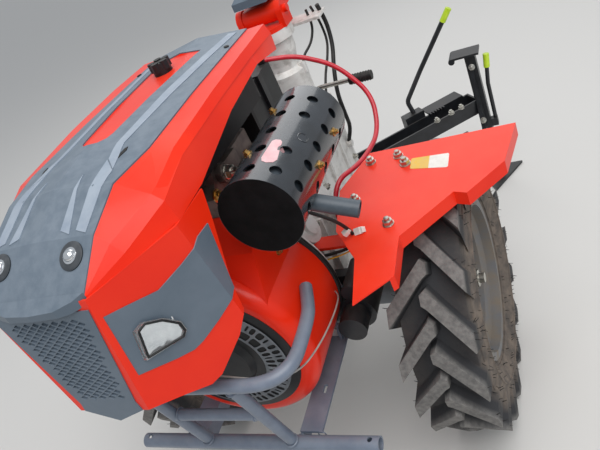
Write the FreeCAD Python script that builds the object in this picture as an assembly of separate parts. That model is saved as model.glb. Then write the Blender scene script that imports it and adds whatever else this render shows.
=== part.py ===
# Walk-behind power tiller with an air-cooled diesel engine, 12 inch wheels and a rear tool carrier.
# Millimetres. X points forward, Y to the machine's left, Z up, with the ground at Z = 0.
# The pieces are laid out about the wheel axle (X = 0) and moved to the part's origin when they are written.

import FreeCAD, Part
import math
import os

V = FreeCAD.Vector
os.makedirs("parts", exist_ok=True)

# Driving dimensions: overall stance
AXLE_TO_ORIGIN = 351.5    # how far the middle of the machine's length lies behind the axle
TYRE_RADIUS = 295.0       # 5.00-12 farm tyre, out to the lugs' tips
WHEEL_Y = 332.0           # middle of the tread from the machine's centre plane
AXLE_Z = 295.0            # axle's height on the drawing, from which the chassis is laid out
GROUND_Z = AXLE_Z - TYRE_RADIUS

# Driving dimensions: clearances
SEAT_GAP = 0.2            # gap between curved faces that seat on each other
RUNNING_GAP = 0.05        # radial clearance of a turning shaft

# Wheels
LUG_HEIGHT = 31.0
CARCASS_RADIUS = TYRE_RADIUS - LUG_HEIGHT
LUG_FOOT_RADIUS = CARCASS_RADIUS - 46
TYRE_WIDTH = 140.0
TREAD_WIDTH = 116.0
RIM_SEAT_RADIUS = 152.0
RIM_FLANGE_RADIUS = 165.0
RIM_WIDTH = 104.0
RIM_WALL = 3.0
TYRE_WALL = 9.0
LUGS_PER_SIDE = 18
LUG_WIDTH = 33.0
LUG_SWEEP_DEG = 15.0
HUB_RADIUS = 36.0
HUB_LENGTH = 66.0
AXLE_RADIUS = 16.0

# Gearbox and axle
CASE_HALF_WIDTH = 62.0
LOBE_RADIUS = 46.0
BELL_RADIUS = 128.0
BELL_LENGTH = 34.0
AXLE_TUBE_RADIUS = 34.0
AXLE_TUBE_END_Y = 226.0
TURRET_X = -340.0
TURRET_TOP_Z = 807.0
# the turret's outline from its foot upwards: radius, z
TURRET_PROFILE = [(62.0, 420.0), (60.0, 560.0), (48.0, 640.0), (50.0, 704.0), (37.0, 714.0), (37.0, 726.0),
                  (44.0, 752.0), (45.0, 780.0), (55.0, 784.0), (55.0, TURRET_TOP_Z)]
TURRET_FLANGE_RADIUS = 55.0
HEAD_STEM_RADIUS = 18.0
HITCH_HALF = 36.0
DRAWBAR_TOP_Z = 300.0

# Engine
ENGINE_REAR_X = -10.0
CRANKCASE_FRONT_X = 176.0
CRANKCASE_HALF_WIDTH = 124.0
ENGINE_BASE_Z = 345.0
CRANK_Z = 490.0
CRANKCASE_TOP_Z = 604.0
CYLINDER_X = 92.0
PORT_X = 110.0
HEAD_TOP_Z = 722.0
FIN_PITCH = 13.0
FIN_THICK = 4.0
FIN_HALF_WIDTH = 92.0
FIN_HALF_LENGTH = 74.0
ROCKER_TOP_Z = 768.0
SHROUD_RADIUS = 165.0
SHROUD_WALL = 4.0
SHROUD_FRONT_X = 340.0
SHROUD_MOUTH_RADIUS = 135.0
SHROUD_EDGE_RADIUS = 24.0
DUCT_HALF_WIDTH = 128.0
DUCT_TOP_Z = 716.0
SHROUD_FLOOR_Z = 372.0    # the drum is cut off level here, above the rails
RECOIL_FRONT_X = 348.0
RECOIL_HUB_RADIUS = 60.0
RECOIL_SLOTS = 36
RECOIL_SLOT_RINGS = [(80.0, 98.0), (101.0, 117.0)]

# Muffler
MUFFLER_Y = 195.0
MUFFLER_Z = 754.0
MUFFLER_REAR_X = 61.0
MUFFLER_FRONT_X = 329.0
GUARD_RADIUS = 60.0
GUARD_WALL = 2.0
MUFFLER_BODY_RADIUS = 50.0
GUARD_HOLE_RADIUS = 9.0
GUARD_HOLE_PITCH = 49.5
GUARD_HOLE_FIRST = 31.0   # from the front end to the first hole of a row
GUARD_HOLES_LONG = 5
GUARD_DENT = (2, 2)         # row and place that hold a pressed dent, not a hole
GUARD_ROW_ANGLES = [-20.0, 16.7, 53.4, 90.1, 126.8, 163.5]
GUARD_RIM = 1.8           # how far the front cap's rolled rim stands out
TAIL_RADIUS = 13.0
TAIL_START = (255.0, 212.0, 724.0)
TAIL_END = (255.0, 301.0, 688.0)

# Fuel tank, battery
TANK_REAR_X = -8.0
TANK_FRONT_X = 320.0
TANK_HALF_WIDTH = 98.0
TANK_BASE_Z = 792.0
TANK_TOP_Z = 872.0
INSET_TOP_Z = 911.0
FUEL_CAP_X = 92.0
BATTERY_REAR_X = -185.0
BATTERY_FRONT_X = -37.0
BATTERY_Y0 = -44.0
BATTERY_Y1 = 44.0
BATTERY_BASE_Z = 666.0
BATTERY_TOP_Z = 790.0

# Bonnet shell, one row per cross-section from the rear to the nose
BONNET_WALL = 3.0
PANEL_THICK = 2.0
# columns: x, crown z, panel edge y, z, bevel top y, z, shoulder y, z, skirt y, z
BONNET_SECTIONS = [
    (-50.0, 909.0, 100.0, 897.0, 126.0, 892.0, 139.0, 878.0, 137.0, 848.0),
    (60.0, 915.0, 103.0, 899.0, 129.0, 892.0, 142.0, 883.0, 147.0, 868.0),
    (200.0, 917.0, 105.0, 900.0, 131.0, 891.0, 144.0, 883.0, 150.0, 859.0),
    (346.0, 914.0, 108.0, 898.0, 134.0, 886.0, 147.0, 879.0, 151.0, 832.0),
    (418.0, 905.0, 92.0, 896.0, 134.0, 872.0, 146.0, 860.0, 150.0, 829.0),
    (486.0, 876.0, 90.0, 873.0, 103.0, 858.0, 114.0, 842.0, 117.0, 829.0),
    (540.0, 835.0, 83.0, 833.0, 83.5, 832.0, 84.0, 831.0, 84.0, 829.0),
]
PANEL_OUTLINE = [(row[0], row[2]) for row in BONNET_SECTIONS]

# Nose mask, under the bonnet shell
MASK_TOP_Z = 829.0
MASK_BASE_Z = 585.0
# columns: x at the top, y at the top, x at the base, y at the base
MASK_CORNERS = [(545.0, 84.0, 559.0, 51.0), (428.0, 150.0, 404.0, 150.0), (352.0, 152.0, 352.0, 151.0)]
# lower and rear edge of the mask seen from the side: x, z
MASK_EDGE = [(600.0, 646.0), (557.0, 646.0), (520.0, 624.0), (484.0, 601.0), (468.0, 602.0), (427.0, 633.0),
             (412.0, 654.0), (404.0, 661.0), (399.0, 700.0), (366.0, 786.0), (352.0, 829.0)]
# grey side panel and headlamp on it, seen from the side: x, z
SIDE_PANEL = [(540.0, 797.0), (516.0, 789.0), (480.0, 776.0), (445.0, 783.0), (408.0, 794.0), (379.0, 792.0),
              (400.0, 697.0), (440.0, 679.0), (468.0, 670.0), (481.0, 669.0), (501.0, 677.0), (544.0, 699.0)]
HEADLAMP = [(526.0, 755.0), (514.0, 758.0), (495.0, 744.0), (481.0, 722.0), (480.0, 706.0), (486.0, 699.0),
            (532.0, 711.0)]
PANEL_STEP = 1.5          # how far the side panels stand out from the mask
LAMP_STEP = 6.0           # how far the lamps' lenses stand out from the mask
LAMP_DEPTH = 12.0         # how far the lamps' bodies reach in behind it
# grille plate on the mask's front: half width, z, from its top to its chin
GRILLE_OUTLINE = [(80.0, 816.0), (48.0, 661.0), (50.0, 646.0), (0.0, 626.0)]
GRILLE_STEP = 1.5
GRILLE_THICK = 5.0
GRILLE_POCKET = 2.5
GRILLE_BORDER = 9.0
MESH_WIDTH = 16.0         # one diamond of the grille's mesh
MESH_HEIGHT = 10.0
MESH_RIB = 3.2

# Front guard and engine rails
CROSS_TUBE_X = 401.0
CROSS_TUBE_Z = 331.5
CROSS_TUBE_RADIUS = 13.5
CROSS_TUBE_HALF = 240.0
HOOP_RADIUS = 11.0
HOOP_Z = 555.0
HOOP_FRONT_X = 453.0
HOOP_HALF = 186.0
HOOP_BEND = 76.0
HOOP_REAR_X = 120.0
STRUT_Y = 86.0
MID_TUBE_Z = 452.0
RAIL_Y0 = 96.0
RAIL_Y1 = 138.0
RAIL_THICK = 5.0
RAIL_DEPTH = 32.0
RAIL_REAR_X = 48.0
FOOT_REAR_X = 92.0        # upright engine foot on each rail
FOOT_FRONT_X = 186.0
FOOT_TOP_Z = 400.0

# Fenders: outline on the sheet's plane, x and y for the left side
FENDER_GAP = 22.0         # from the lugs' tips up to the sheet
FENDER_Z = AXLE_Z + TYRE_RADIUS + FENDER_GAP
FENDER_THICK = 2.5
FENDER_SLOPE_DEG = 4.0
FENDER_FLANGE = 22.0
FENDER_ARM_X = (89.0, 124.0)   # the arm bolts between two ribs of the crankcase
FENDER_OUTLINE = [(-28.0, 238.0), (-28.0, 500.0), (72.0, 482.0), (136.0, 425.0), (128.0, 404.0),
                  (214.0, 325.0), (296.0, 328.0), (344.0, 272.0), (250.0, 258.0), (180.0, 212.0), (72.0, 197.0)]

# Handlebars
PIVOT_Z = 841.0
EAR_INNER = 42.0
EAR_OUTER = 56.0
EAR_RADIUS = 24.0
GRIP_Z = 964.0
BAR_RADIUS = 15.0
GRIP_RADIUS = 19.0
GRIP_LENGTH = 120.0
GRIP_END_X = -1262.0

# Rear tool carrier
BEAM_SIZE = 44.0
BEAM_WIDTH = 66.0

# Cables, each as the points of its route; the ends sit in bored bosses
BATTERY_CABLE_RADIUS = 5.0
BATTERY_CABLE = [(-180.0, 40.0, 794.0), (-205.0, 96.0, 776.0), (-222.0, 164.0, 728.0), (-207.0, 222.0, 650.0),
                 (-150.0, 226.0, 588.0), (-62.0, 204.0, 580.0), (6.0, 166.0, 588.0), (42.0, 156.0, 540.0),
                 (66.0, 176.0, 434.0)]
THIN_CABLE_RADIUS = 3.0
THROTTLE_CABLE = [(-404.0, 76.0, 806.0), (-408.0, 77.0, 766.0), (-380.0, 70.0, 738.0), (-342.0, 54.0, 724.0),
                  (-335.0, 46.0, 700.0)]
CLUTCH_CABLE = [(-418.0, 84.0, 806.0), (-432.0, 88.0, 762.0), (-428.0, 90.0, 716.0), (-388.0, 90.0, 690.0),
                (-330.0, 88.0, 664.0), (-292.0, 84.0, 618.0), (-268.0, 66.0, 578.0)]
HOSE_RADIUS = 5.0
HOSE = [(-416.0, 101.0, 806.0), (-428.0, 104.0, 756.0), (-412.0, 104.0, 706.0), (-372.0, 100.0, 664.0),
        (-348.0, 95.0, 612.0), (-352.0, 93.0, 556.0), (-376.0, 84.0, 506.0), (-372.0, 64.0, 462.0)]
CONTROL_CABLES = [(THROTTLE_CABLE, THIN_CABLE_RADIUS), (CLUTCH_CABLE, THIN_CABLE_RADIUS), (HOSE, HOSE_RADIUS)]

# Shift lever beside the gearbox
SHIFT_LEVER = [(-240.0, 36.0, 590.0), (-240.0, 36.0, 668.0), (-240.0, 110.0, 681.0), (-240.0, 222.0, 679.0)]
SHIFT_LEVER_RADIUS = 5.0
SHIFT_GRIP_START_Y = 174.0
SHIFT_GRIP_RADIUS = 10.0


# Small helpers for plain solids

def box(x0, x1, y0, y1, z0, z1):
    return Part.makeBox(x1 - x0, y1 - y0, z1 - z0, V(x0, y0, z0))


def rod(start, end, radius):
    start, end = V(*start), V(*end)
    return Part.makeCylinder(radius, (end - start).Length, start, end - start)


def ring(start, end, radius, bore):
    return rod(start, end, radius).cut(rod(start, end, bore))


def prism(points, direction):
    wire = Part.makePolygon([V(*p) for p in points + points[:1]])
    return Part.Face(wire).extrude(V(*direction))


def fused(solids):
    solid = solids[0].multiFuse(solids[1:]) if len(solids) > 1 else solids[0]
    return solid.removeSplitter()


def mirrored(shape):
    return shape.mirror(V(0, 0, 0), V(0, 1, 0))


def moved(shape, x, y, z):
    copy = shape.copy()
    copy.translate(V(x, y, z))
    return copy


def turned(shape, centre, axis, degrees):
    copy = shape.copy()
    copy.rotate(V(*centre), V(*axis), degrees)
    return copy


def bent_tube(points, bends, radius, bore=0.0):
    """A round tube through points, with an arc of the given radius at each inner point."""
    points = [V(*p) for p in points]
    edges = []
    start = points[0]
    for i, bend in enumerate(bends, 1):
        into = (points[i] - points[i - 1]).normalize()
        out = (points[i + 1] - points[i]).normalize()
        half_turn = into.getAngle(out) / 2
        cut = bend * math.tan(half_turn)
        a = points[i] - into * cut
        b = points[i] + out * cut
        middle = (out - into).normalize()
        centre = points[i] + middle * (bend / math.cos(half_turn))
        edges.append(Part.LineSegment(start, a).toShape())
        edges.append(Part.Arc(a, centre - middle * bend, b).toShape())
        start = b
    edges.append(Part.LineSegment(start, points[-1]).toShape())
    path = Part.Wire(edges)
    along = points[1] - points[0]

    def swept(r):
        profile = Part.Wire([Part.Circle(points[0], along, r).toShape()])
        return path.makePipeShell([profile], True, True, 2)

    solid = swept(radius)
    return solid.cut(swept(bore)) if bore else solid


def cord(points, radius, grow=0.0):
    """A cable's tube: each arc is as large as its two straight runs allow."""
    corners = [V(*p) for p in points]
    bends = []
    for before, here, after in zip(corners, corners[1:], corners[2:]):
        into, out = here - before, after - here
        shorter = min(into.Length, out.Length)
        bends.append(0.45 * shorter / math.tan(into.getAngle(out) / 2))
    if not grow:
        print("cable radii", [round(b) for b in bends])
    return bent_tube(points, bends, radius + grow)


def plate_xz(points, y0, y1):
    """A plate whose outline is given as x, z."""
    return prism([(x, y0, z) for x, z in points], (0, y1 - y0, 0))


def save(shape, node):
    moved(shape, AXLE_TO_ORIGIN, 0, -GROUND_Z).exportStep("parts/" + node + ".step")


# Wheels, made about the origin with the axle along Y, then moved to their places

def tyre():
    half = TYRE_WIDTH / 2
    tread = TREAD_WIDTH / 2
    seat = RIM_SEAT_RADIUS + SEAT_GAP
    bead_y = RIM_WIDTH / 2 - RIM_WALL - SEAT_GAP
    mid = (seat + CARCASS_RADIUS) / 2
    shoulder = CARCASS_RADIUS - 8
    wall = TYRE_WALL
    outside = [(bead_y, seat), (bead_y, RIM_FLANGE_RADIUS + 2), (half, mid), (tread, shoulder), (0, CARCASS_RADIUS)]
    inside = [(bead_y - wall, seat - 1), (bead_y - wall, RIM_FLANGE_RADIUS), (half - wall, mid),
              (tread - wall, shoulder - wall * 1.3), (0, CARCASS_RADIUS - wall * 1.5)]
    solids = [wheel_turning(outside)]
    step = 360.0 / LUGS_PER_SIDE
    for side in (1, -1):
        for i in range(LUGS_PER_SIDE):
            angle = i * step + (step / 2 if side < 0 else 0)
            solids.append(turned(lug(side), (0, 0, 0), (0, 1, 0), angle))
    return fused(solids).cut(wheel_turning(inside))


def wheel_turning(half_line):
    """Turn a profile about the axle: half_line holds y and radius from one bead to the tread's middle."""
    line = half_line + [(-y, r) for y, r in reversed(half_line[:-1])]
    profile = [V(0, y, r) for y, r in line]
    return Part.Face(Part.makePolygon(profile + profile[:1])).revolve(V(0, 0, 0), V(0, 1, 0), 360)


def lug(side):
    """One slanted bar at the top of the wheel: its shoulder end is forward of its end at the tread's middle."""
    reach = TYRE_RADIUS * math.radians(LUG_SWEEP_DEG)
    top = math.sqrt(TYRE_RADIUS ** 2 - (reach / 2 + LUG_WIDTH / 2) ** 2)
    y_mid, y_out = -8.0, TYRE_WIDTH / 2 - 3

    def wire(grow, z):
        w = LUG_WIDTH / 2 + grow
        a, b = -reach / 2, reach / 2
        nose = w * 0.55
        points = [(a - w, y_mid + nose), (a - nose, y_mid - grow), (a + nose, y_mid - grow),
                  (a + w, y_mid + nose), (b + w, y_out), (b - w, y_out)]
        points = [V(x, side * y, z) for x, y in points]
        return Part.makePolygon(points + points[:1])

    return Part.makeLoft([wire(6.0, LUG_FOOT_RADIUS), wire(0.0, top)], True, True)


def rim():
    half = RIM_WIDTH / 2
    seat = RIM_SEAT_RADIUS
    well = seat - 18
    flange = RIM_FLANGE_RADIUS
    wall = RIM_WALL
    outer = [(half, flange), (half - wall, flange), (half - wall, seat), (half - 22, seat), (half - 32, well),
             (-half + 32, well), (-half + 22, seat), (-half + wall, seat), (-half + wall, flange), (-half, flange)]
    inner = [(-half, seat - wall), (-half + 20, seat - wall), (-half + 30, well - wall),
             (half - 30, well - wall), (half - 20, seat - wall), (half, seat - wall)]
    profile = [V(0, y, r) for y, r in outer + inner]
    band = Part.Face(Part.makePolygon(profile + profile[:1])).revolve(V(0, 0, 0), V(0, 1, 0), 360)
    disc_y = -14.0
    disc = ring((0, disc_y, 0), (0, disc_y + 6, 0), well - wall + 1, HUB_RADIUS + SEAT_GAP)
    for k in range(5):
        hole = rod((0, disc_y - 1, 96), (0, disc_y + 7, 96), 15)
        disc = disc.cut(turned(hole, (0, 0, 0), (0, 1, 0), 72 * k))
    return fused([band, disc])


def hub_and_shaft():
    """Hub tube with its bolting flange on the outboard end of the half shaft."""
    shaft_in = -(WHEEL_Y - CASE_HALF_WIDTH - 30)
    inner_end = AXLE_TUBE_END_Y + 6 - WHEEL_Y
    hub = rod((0, inner_end, 0), (0, inner_end + HUB_LENGTH + 40, 0), HUB_RADIUS)
    flange = rod((0, -22.0, 0), (0, -14.0, 0), 66)
    shaft = rod((0, shaft_in, 0), (0, inner_end + HUB_LENGTH + 52, 0), AXLE_RADIUS)
    return fused([hub, flange, shaft])


def wheels():
    for side, name in ((1, "left"), (-1, "right")):
        for shape, node in ((tyre(), "tyre_"), (rim(), "rim_"), (hub_and_shaft(), "hub_")):
            placed = moved(shape, 0, WHEEL_Y, AXLE_Z)
            save(placed if side > 0 else mirrored(placed), node + name)


# Gearbox with its axle lobe, bell flange and the turret that carries the handlebars

def gearbox():
    bell_x = ENGINE_REAR_X - BELL_LENGTH
    side = [(bell_x, 394), (bell_x, 598), (-150, 598), (-300, 560), (-392, 600), (-392, 470), (-400, 380),
            (-340, 330), (-200, 262), (-40, 250), (0, AXLE_Z - LOBE_RADIUS), (20, 270), (20, 320), (-30, 342)]
    w = CASE_HALF_WIDTH
    body = prism([(x, -w, z) for x, z in side], (0, 2 * w, 0))
    lobe = rod((0, -w - 8, AXLE_Z), (0, w + 8, AXLE_Z), LOBE_RADIUS)
    bell = rod((bell_x, 0, CRANK_Z), (ENGINE_REAR_X, 0, CRANK_Z), BELL_RADIUS)
    cone = Part.makeCone(88, BELL_RADIUS, 60, V(bell_x - 60, 0, CRANK_Z), V(1, 0, 0))
    profile = [V(0, 0, TURRET_PROFILE[0][1])] + [V(r, 0, z) for r, z in TURRET_PROFILE] + [V(0, 0, TURRET_TOP_Z)]
    turret = Part.Face(Part.makePolygon(profile + profile[:1])).revolve(V(0, 0, 0), V(0, 0, 1), 360)
    bracket = box(-430, -372, 28, 112, TURRET_TOP_Z - 21, TURRET_TOP_Z - 15)
    # bosses for the throttle and clutch cables, the hose and the shift lever
    stops = [rod((-335, 46, 690), (-335, 46, 716), 8), box(-280, -256, 50, 78, 548, 588),
             rod((-372, 50, 462), (-372, 74, 462), 9), rod((-240, 36, 560), (-240, 36, 600), 16)]
    solids = [body, lobe, bell, cone, moved(turret, TURRET_X, 0, 0), bracket] + stops
    for x in (-120, -220, -320):
        solids.append(box(x, x + 9, -w - 6, w + 6, 360, 540))
    case = fused(solids)
    case = case.cut(rod((0, -400, AXLE_Z), (0, 400, AXLE_Z), AXLE_RADIUS + RUNNING_GAP))
    stem_bore = HEAD_STEM_RADIUS + RUNNING_GAP
    case = case.cut(rod((TURRET_X, 0, TURRET_TOP_Z - 70), (TURRET_X, 0, TURRET_TOP_Z + 1), stem_bore))
    for route, radius in CONTROL_CABLES:
        case = case.cut(cord(route, radius, SEAT_GAP))
    case = case.cut(rod(SHIFT_LEVER[0], SHIFT_LEVER[1], SHIFT_LEVER_RADIUS + SEAT_GAP))
    save(case, "gearbox_case")
    hitch = box(-486, -300, -HITCH_HALF, HITCH_HALF, DRAWBAR_TOP_Z - BEAM_SIZE, 384).cut(body)
    hitch = hitch.cut(box(-500, -420, -200, 200, 345, 400))
    save(hitch, "rear_hitch")
    flange_y = w + 8
    for name, flip in (("left", False), ("right", True)):
        tube = rod((0, flange_y, AXLE_Z), (0, AXLE_TUBE_END_Y, AXLE_Z), AXLE_TUBE_RADIUS)
        collar = rod((0, flange_y, AXLE_Z), (0, flange_y + 12, AXLE_Z), LOBE_RADIUS)
        nose = rod((0, AXLE_TUBE_END_Y - 22, AXLE_Z), (0, AXLE_TUBE_END_Y, AXLE_Z), AXLE_TUBE_RADIUS + 5)
        bore = rod((0, 0, AXLE_Z), (0, 400, AXLE_Z), AXLE_RADIUS + RUNNING_GAP)
        housing = fused([tube, collar, nose]).cut(bore)
        save(mirrored(housing) if flip else housing, "axle_housing_" + name)


# Engine

def engine():
    x0, x1, w = ENGINE_REAR_X, CRANKCASE_FRONT_X, CRANKCASE_HALF_WIDTH
    z0, z1 = ENGINE_BASE_Z, CRANKCASE_TOP_Z
    section = [(-w, z0), (w, z0), (w, z0 + 14), (w - 16, z0 + 26), (w - 16, z1 - 60), (w - 46, z1),
               (-w + 46, z1), (-w + 16, z1 - 60), (-w + 16, z0 + 26), (-w, z0 + 14)]
    block = prism([(x0, y, z) for y, z in section], (x1 - x0, 0, 0))
    solids = [block]
    for x in (34, 80, 126):
        solids.append(box(x, x + 7, -w + 4, w - 4, z0 + 10, z1 - 74))
    for y in (1, -1):
        solids.append(rod((CYLINDER_X, y * 60, 456), (CYLINDER_X, y * (w - 6), 456), 30))
    save(fused(solids), "crankcase")

    core = box(CYLINDER_X - 56, CYLINDER_X + 56, -66, 66, z1, HEAD_TOP_Z)
    fins = [core]
    length, width = FIN_HALF_LENGTH, FIN_HALF_WIDTH
    count = int((HEAD_TOP_Z - z1 - 10) / FIN_PITCH)
    for i in range(count):
        z = z1 + 8 + i * FIN_PITCH
        fins.append(box(CYLINDER_X - length, CYLINDER_X + length, -width, width, z, z + FIN_THICK))
    port = rod((PORT_X, 50, 700), (PORT_X, 104, 700), 17.5)
    inlet = rod((PORT_X, -50, 700), (PORT_X, -104, 700), 17.5)
    cover = box(CYLINDER_X - 50, CYLINDER_X + 50, -58, 58, HEAD_TOP_Z, ROCKER_TOP_Z)
    cover = cover.makeChamfer(10, [e for e in cover.Edges if e.BoundBox.ZMin > HEAD_TOP_Z + 1])
    save(fused(fins + [port, inlet, cover]), "cylinder_and_head")


def fan_shroud():
    x0, x1, r = CRANKCASE_FRONT_X, SHROUD_FRONT_X, SHROUD_RADIUS
    t = SHROUD_WALL

    def body(grow, front):
        rear = x0 - 5 if grow else x0
        drum = rod((rear, 0, CRANK_Z), (front, 0, CRANK_Z), r - grow)
        rim_edge = [k for k in drum.Edges if k.BoundBox.XMin > front - 0.1]
        drum = drum.makeFillet(SHROUD_EDGE_RADIUS - grow, rim_edge)
        wd = DUCT_HALF_WIDTH - grow
        top = DUCT_TOP_Z - grow
        side = [(rear, CRANK_Z), (front - 10, CRANK_Z), (front - 10, CRANK_Z + 96), (front - 44, top - 46),
                (front - 84, top), (rear, top)]
        duct = prism([(x, -wd, z) for x, z in side], (0, 2 * wd, 0))
        corner = [k for k in duct.Edges if abs(k.BoundBox.ZMin - top) < 0.1 and k.BoundBox.XLength > 20]
        duct = duct.makeChamfer(34 - grow / 2, corner)
        return drum.fuse(duct).removeSplitter()

    shell = body(0, x1).cut(body(t, x1 - t))
    shell = shell.cut(rod((x1 - 40, 0, CRANK_Z), (x1 + 40, 0, CRANK_Z), SHROUD_MOUTH_RADIUS))
    floor = box(x0 - 10, x1 - 42, -r - 10, r + 10, CRANK_Z - r - 10, SHROUD_FLOOR_Z)
    save(shell.cut(floor), "fan_shroud")


def recoil_starter():
    x1 = RECOIL_FRONT_X
    r = SHROUD_MOUTH_RADIUS - SEAT_GAP
    hub = RECOIL_HUB_RADIUS
    outside = [(x1 - 34, r), (x1 - 7, r), (x1 - 5, r - 12), (x1 - 2, r - 30), (x1, r - 58), (x1, hub),
               (x1 + 10, hub - 8), (x1 + 10, 0)]
    inside = [(x1 + 6, 0), (x1 + 6, hub - 12), (x1 - 4, hub - 4), (x1 - 4, r - 58), (x1 - 6, r - 30),
              (x1 - 9, r - 14), (x1 - 11, r - 4), (x1 - 34, r - 4)]
    points = [V(x, 0, z) for x, z in outside + inside]
    cup = Part.Face(Part.makePolygon(points + points[:1])).revolve(V(0, 0, 0), V(1, 0, 0), 360)
    cutters = []
    for inner, outer in RECOIL_SLOT_RINGS:
        slot = box(x1 - 40, x1 + 20, -3.6, 3.6, inner, outer)
        for i in range(RECOIL_SLOTS):
            cutters.append(turned(slot, (0, 0, 0), (1, 0, 0), i * 360.0 / RECOIL_SLOTS))
    cup = cup.cut(Part.makeCompound(cutters))
    save(moved(cup, 0, 0, CRANK_Z), "recoil_cover")


def muffler():
    y, z = MUFFLER_Y, MUFFLER_Z
    x0, x1 = MUFFLER_REAR_X, MUFFLER_FRONT_X
    body = rod((x0 + 6, y, z), (x1 - 8, y, z), MUFFLER_BODY_RADIUS)
    feed = bent_tube([(PORT_X, 104, 700), (PORT_X, 130, 700), (PORT_X, 162, 740)], [18], 15)
    flange = rod((PORT_X, 104, 700), (PORT_X, 110, 700), 24)
    start, end = V(*TAIL_START), V(*TAIL_END)
    along = (end - start).normalize()
    tail = rod(start, end, TAIL_RADIUS)
    bore = rod(end - along * 40, end + along * 2, TAIL_RADIUS - 2)
    save(fused([body, feed, flange, tail]).cut(bore), "muffler")

    behind = x0 - 5
    corners = [(behind, y, z), (behind, y - 90, z - 8), (behind, y - 90, z - 90), (behind, y + 10, z - 90)]
    gap = prism(corners, (x1 - x0 + 10, 0, 0))
    sleeve = ring((x0, y, z), (x1 - 4, y, z), GUARD_RADIUS, GUARD_RADIUS - GUARD_WALL).cut(gap)
    cap = rod((x1 - 8, y, z), (x1 - 4, y, z), GUARD_RADIUS - GUARD_WALL)
    rolled = ring((x1 - 4, y, z), (x1, y, z), GUARD_RADIUS + GUARD_RIM, GUARD_RADIUS - 4)
    back = rod((x0 + 2, y, z), (x0 + 6, y, z), GUARD_RADIUS - GUARD_WALL)
    holes = []
    for row, degrees in enumerate(GUARD_ROW_ANGLES):
        angle = math.radians(degrees)
        dy, dz = 80 * math.cos(angle), 80 * math.sin(angle)
        for k in range(GUARD_HOLES_LONG):
            if (row, k) != GUARD_DENT:
                x = x1 - GUARD_HOLE_FIRST - k * GUARD_HOLE_PITCH
                holes.append(rod((x, y, z), (x, y + dy, z + dz), GUARD_HOLE_RADIUS))
    holes.append(rod(start, end, TAIL_RADIUS + 3))
    sleeve = sleeve.cut(Part.makeCompound(holes))
    save(fused([sleeve, cap, rolled, back]), "muffler_guard")


def air_filter():
    x = PORT_X
    can = rod((x, -178, 636), (x, -178, 780), 56)
    lid = rod((x, -178, 780), (x, -178, 792), 60)
    neck = rod((x, -104, 700), (x, -140, 700), 18)
    save(fused([can, lid, neck]), "air_filter")


def starter_motor():
    y, z = 176.0, 398.0
    can = rod((60, y, z), (172, y, z), 37)
    nose = rod((172, y, z), (214, y, z), 27)
    foot = box(56, 79, CRANKCASE_HALF_WIDTH - 16, y - 20, z - 14, z + 14)
    solenoid = rod((96, y + 8, z + 54), (176, y + 8, z + 54), 19)
    tie = box(110, 160, y - 8, y + 14, z + 30, z + 44)
    motor = fused([can, nose, foot, solenoid, tie])
    save(motor.cut(cord(BATTERY_CABLE, BATTERY_CABLE_RADIUS, SEAT_GAP)), "starter_motor")


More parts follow.
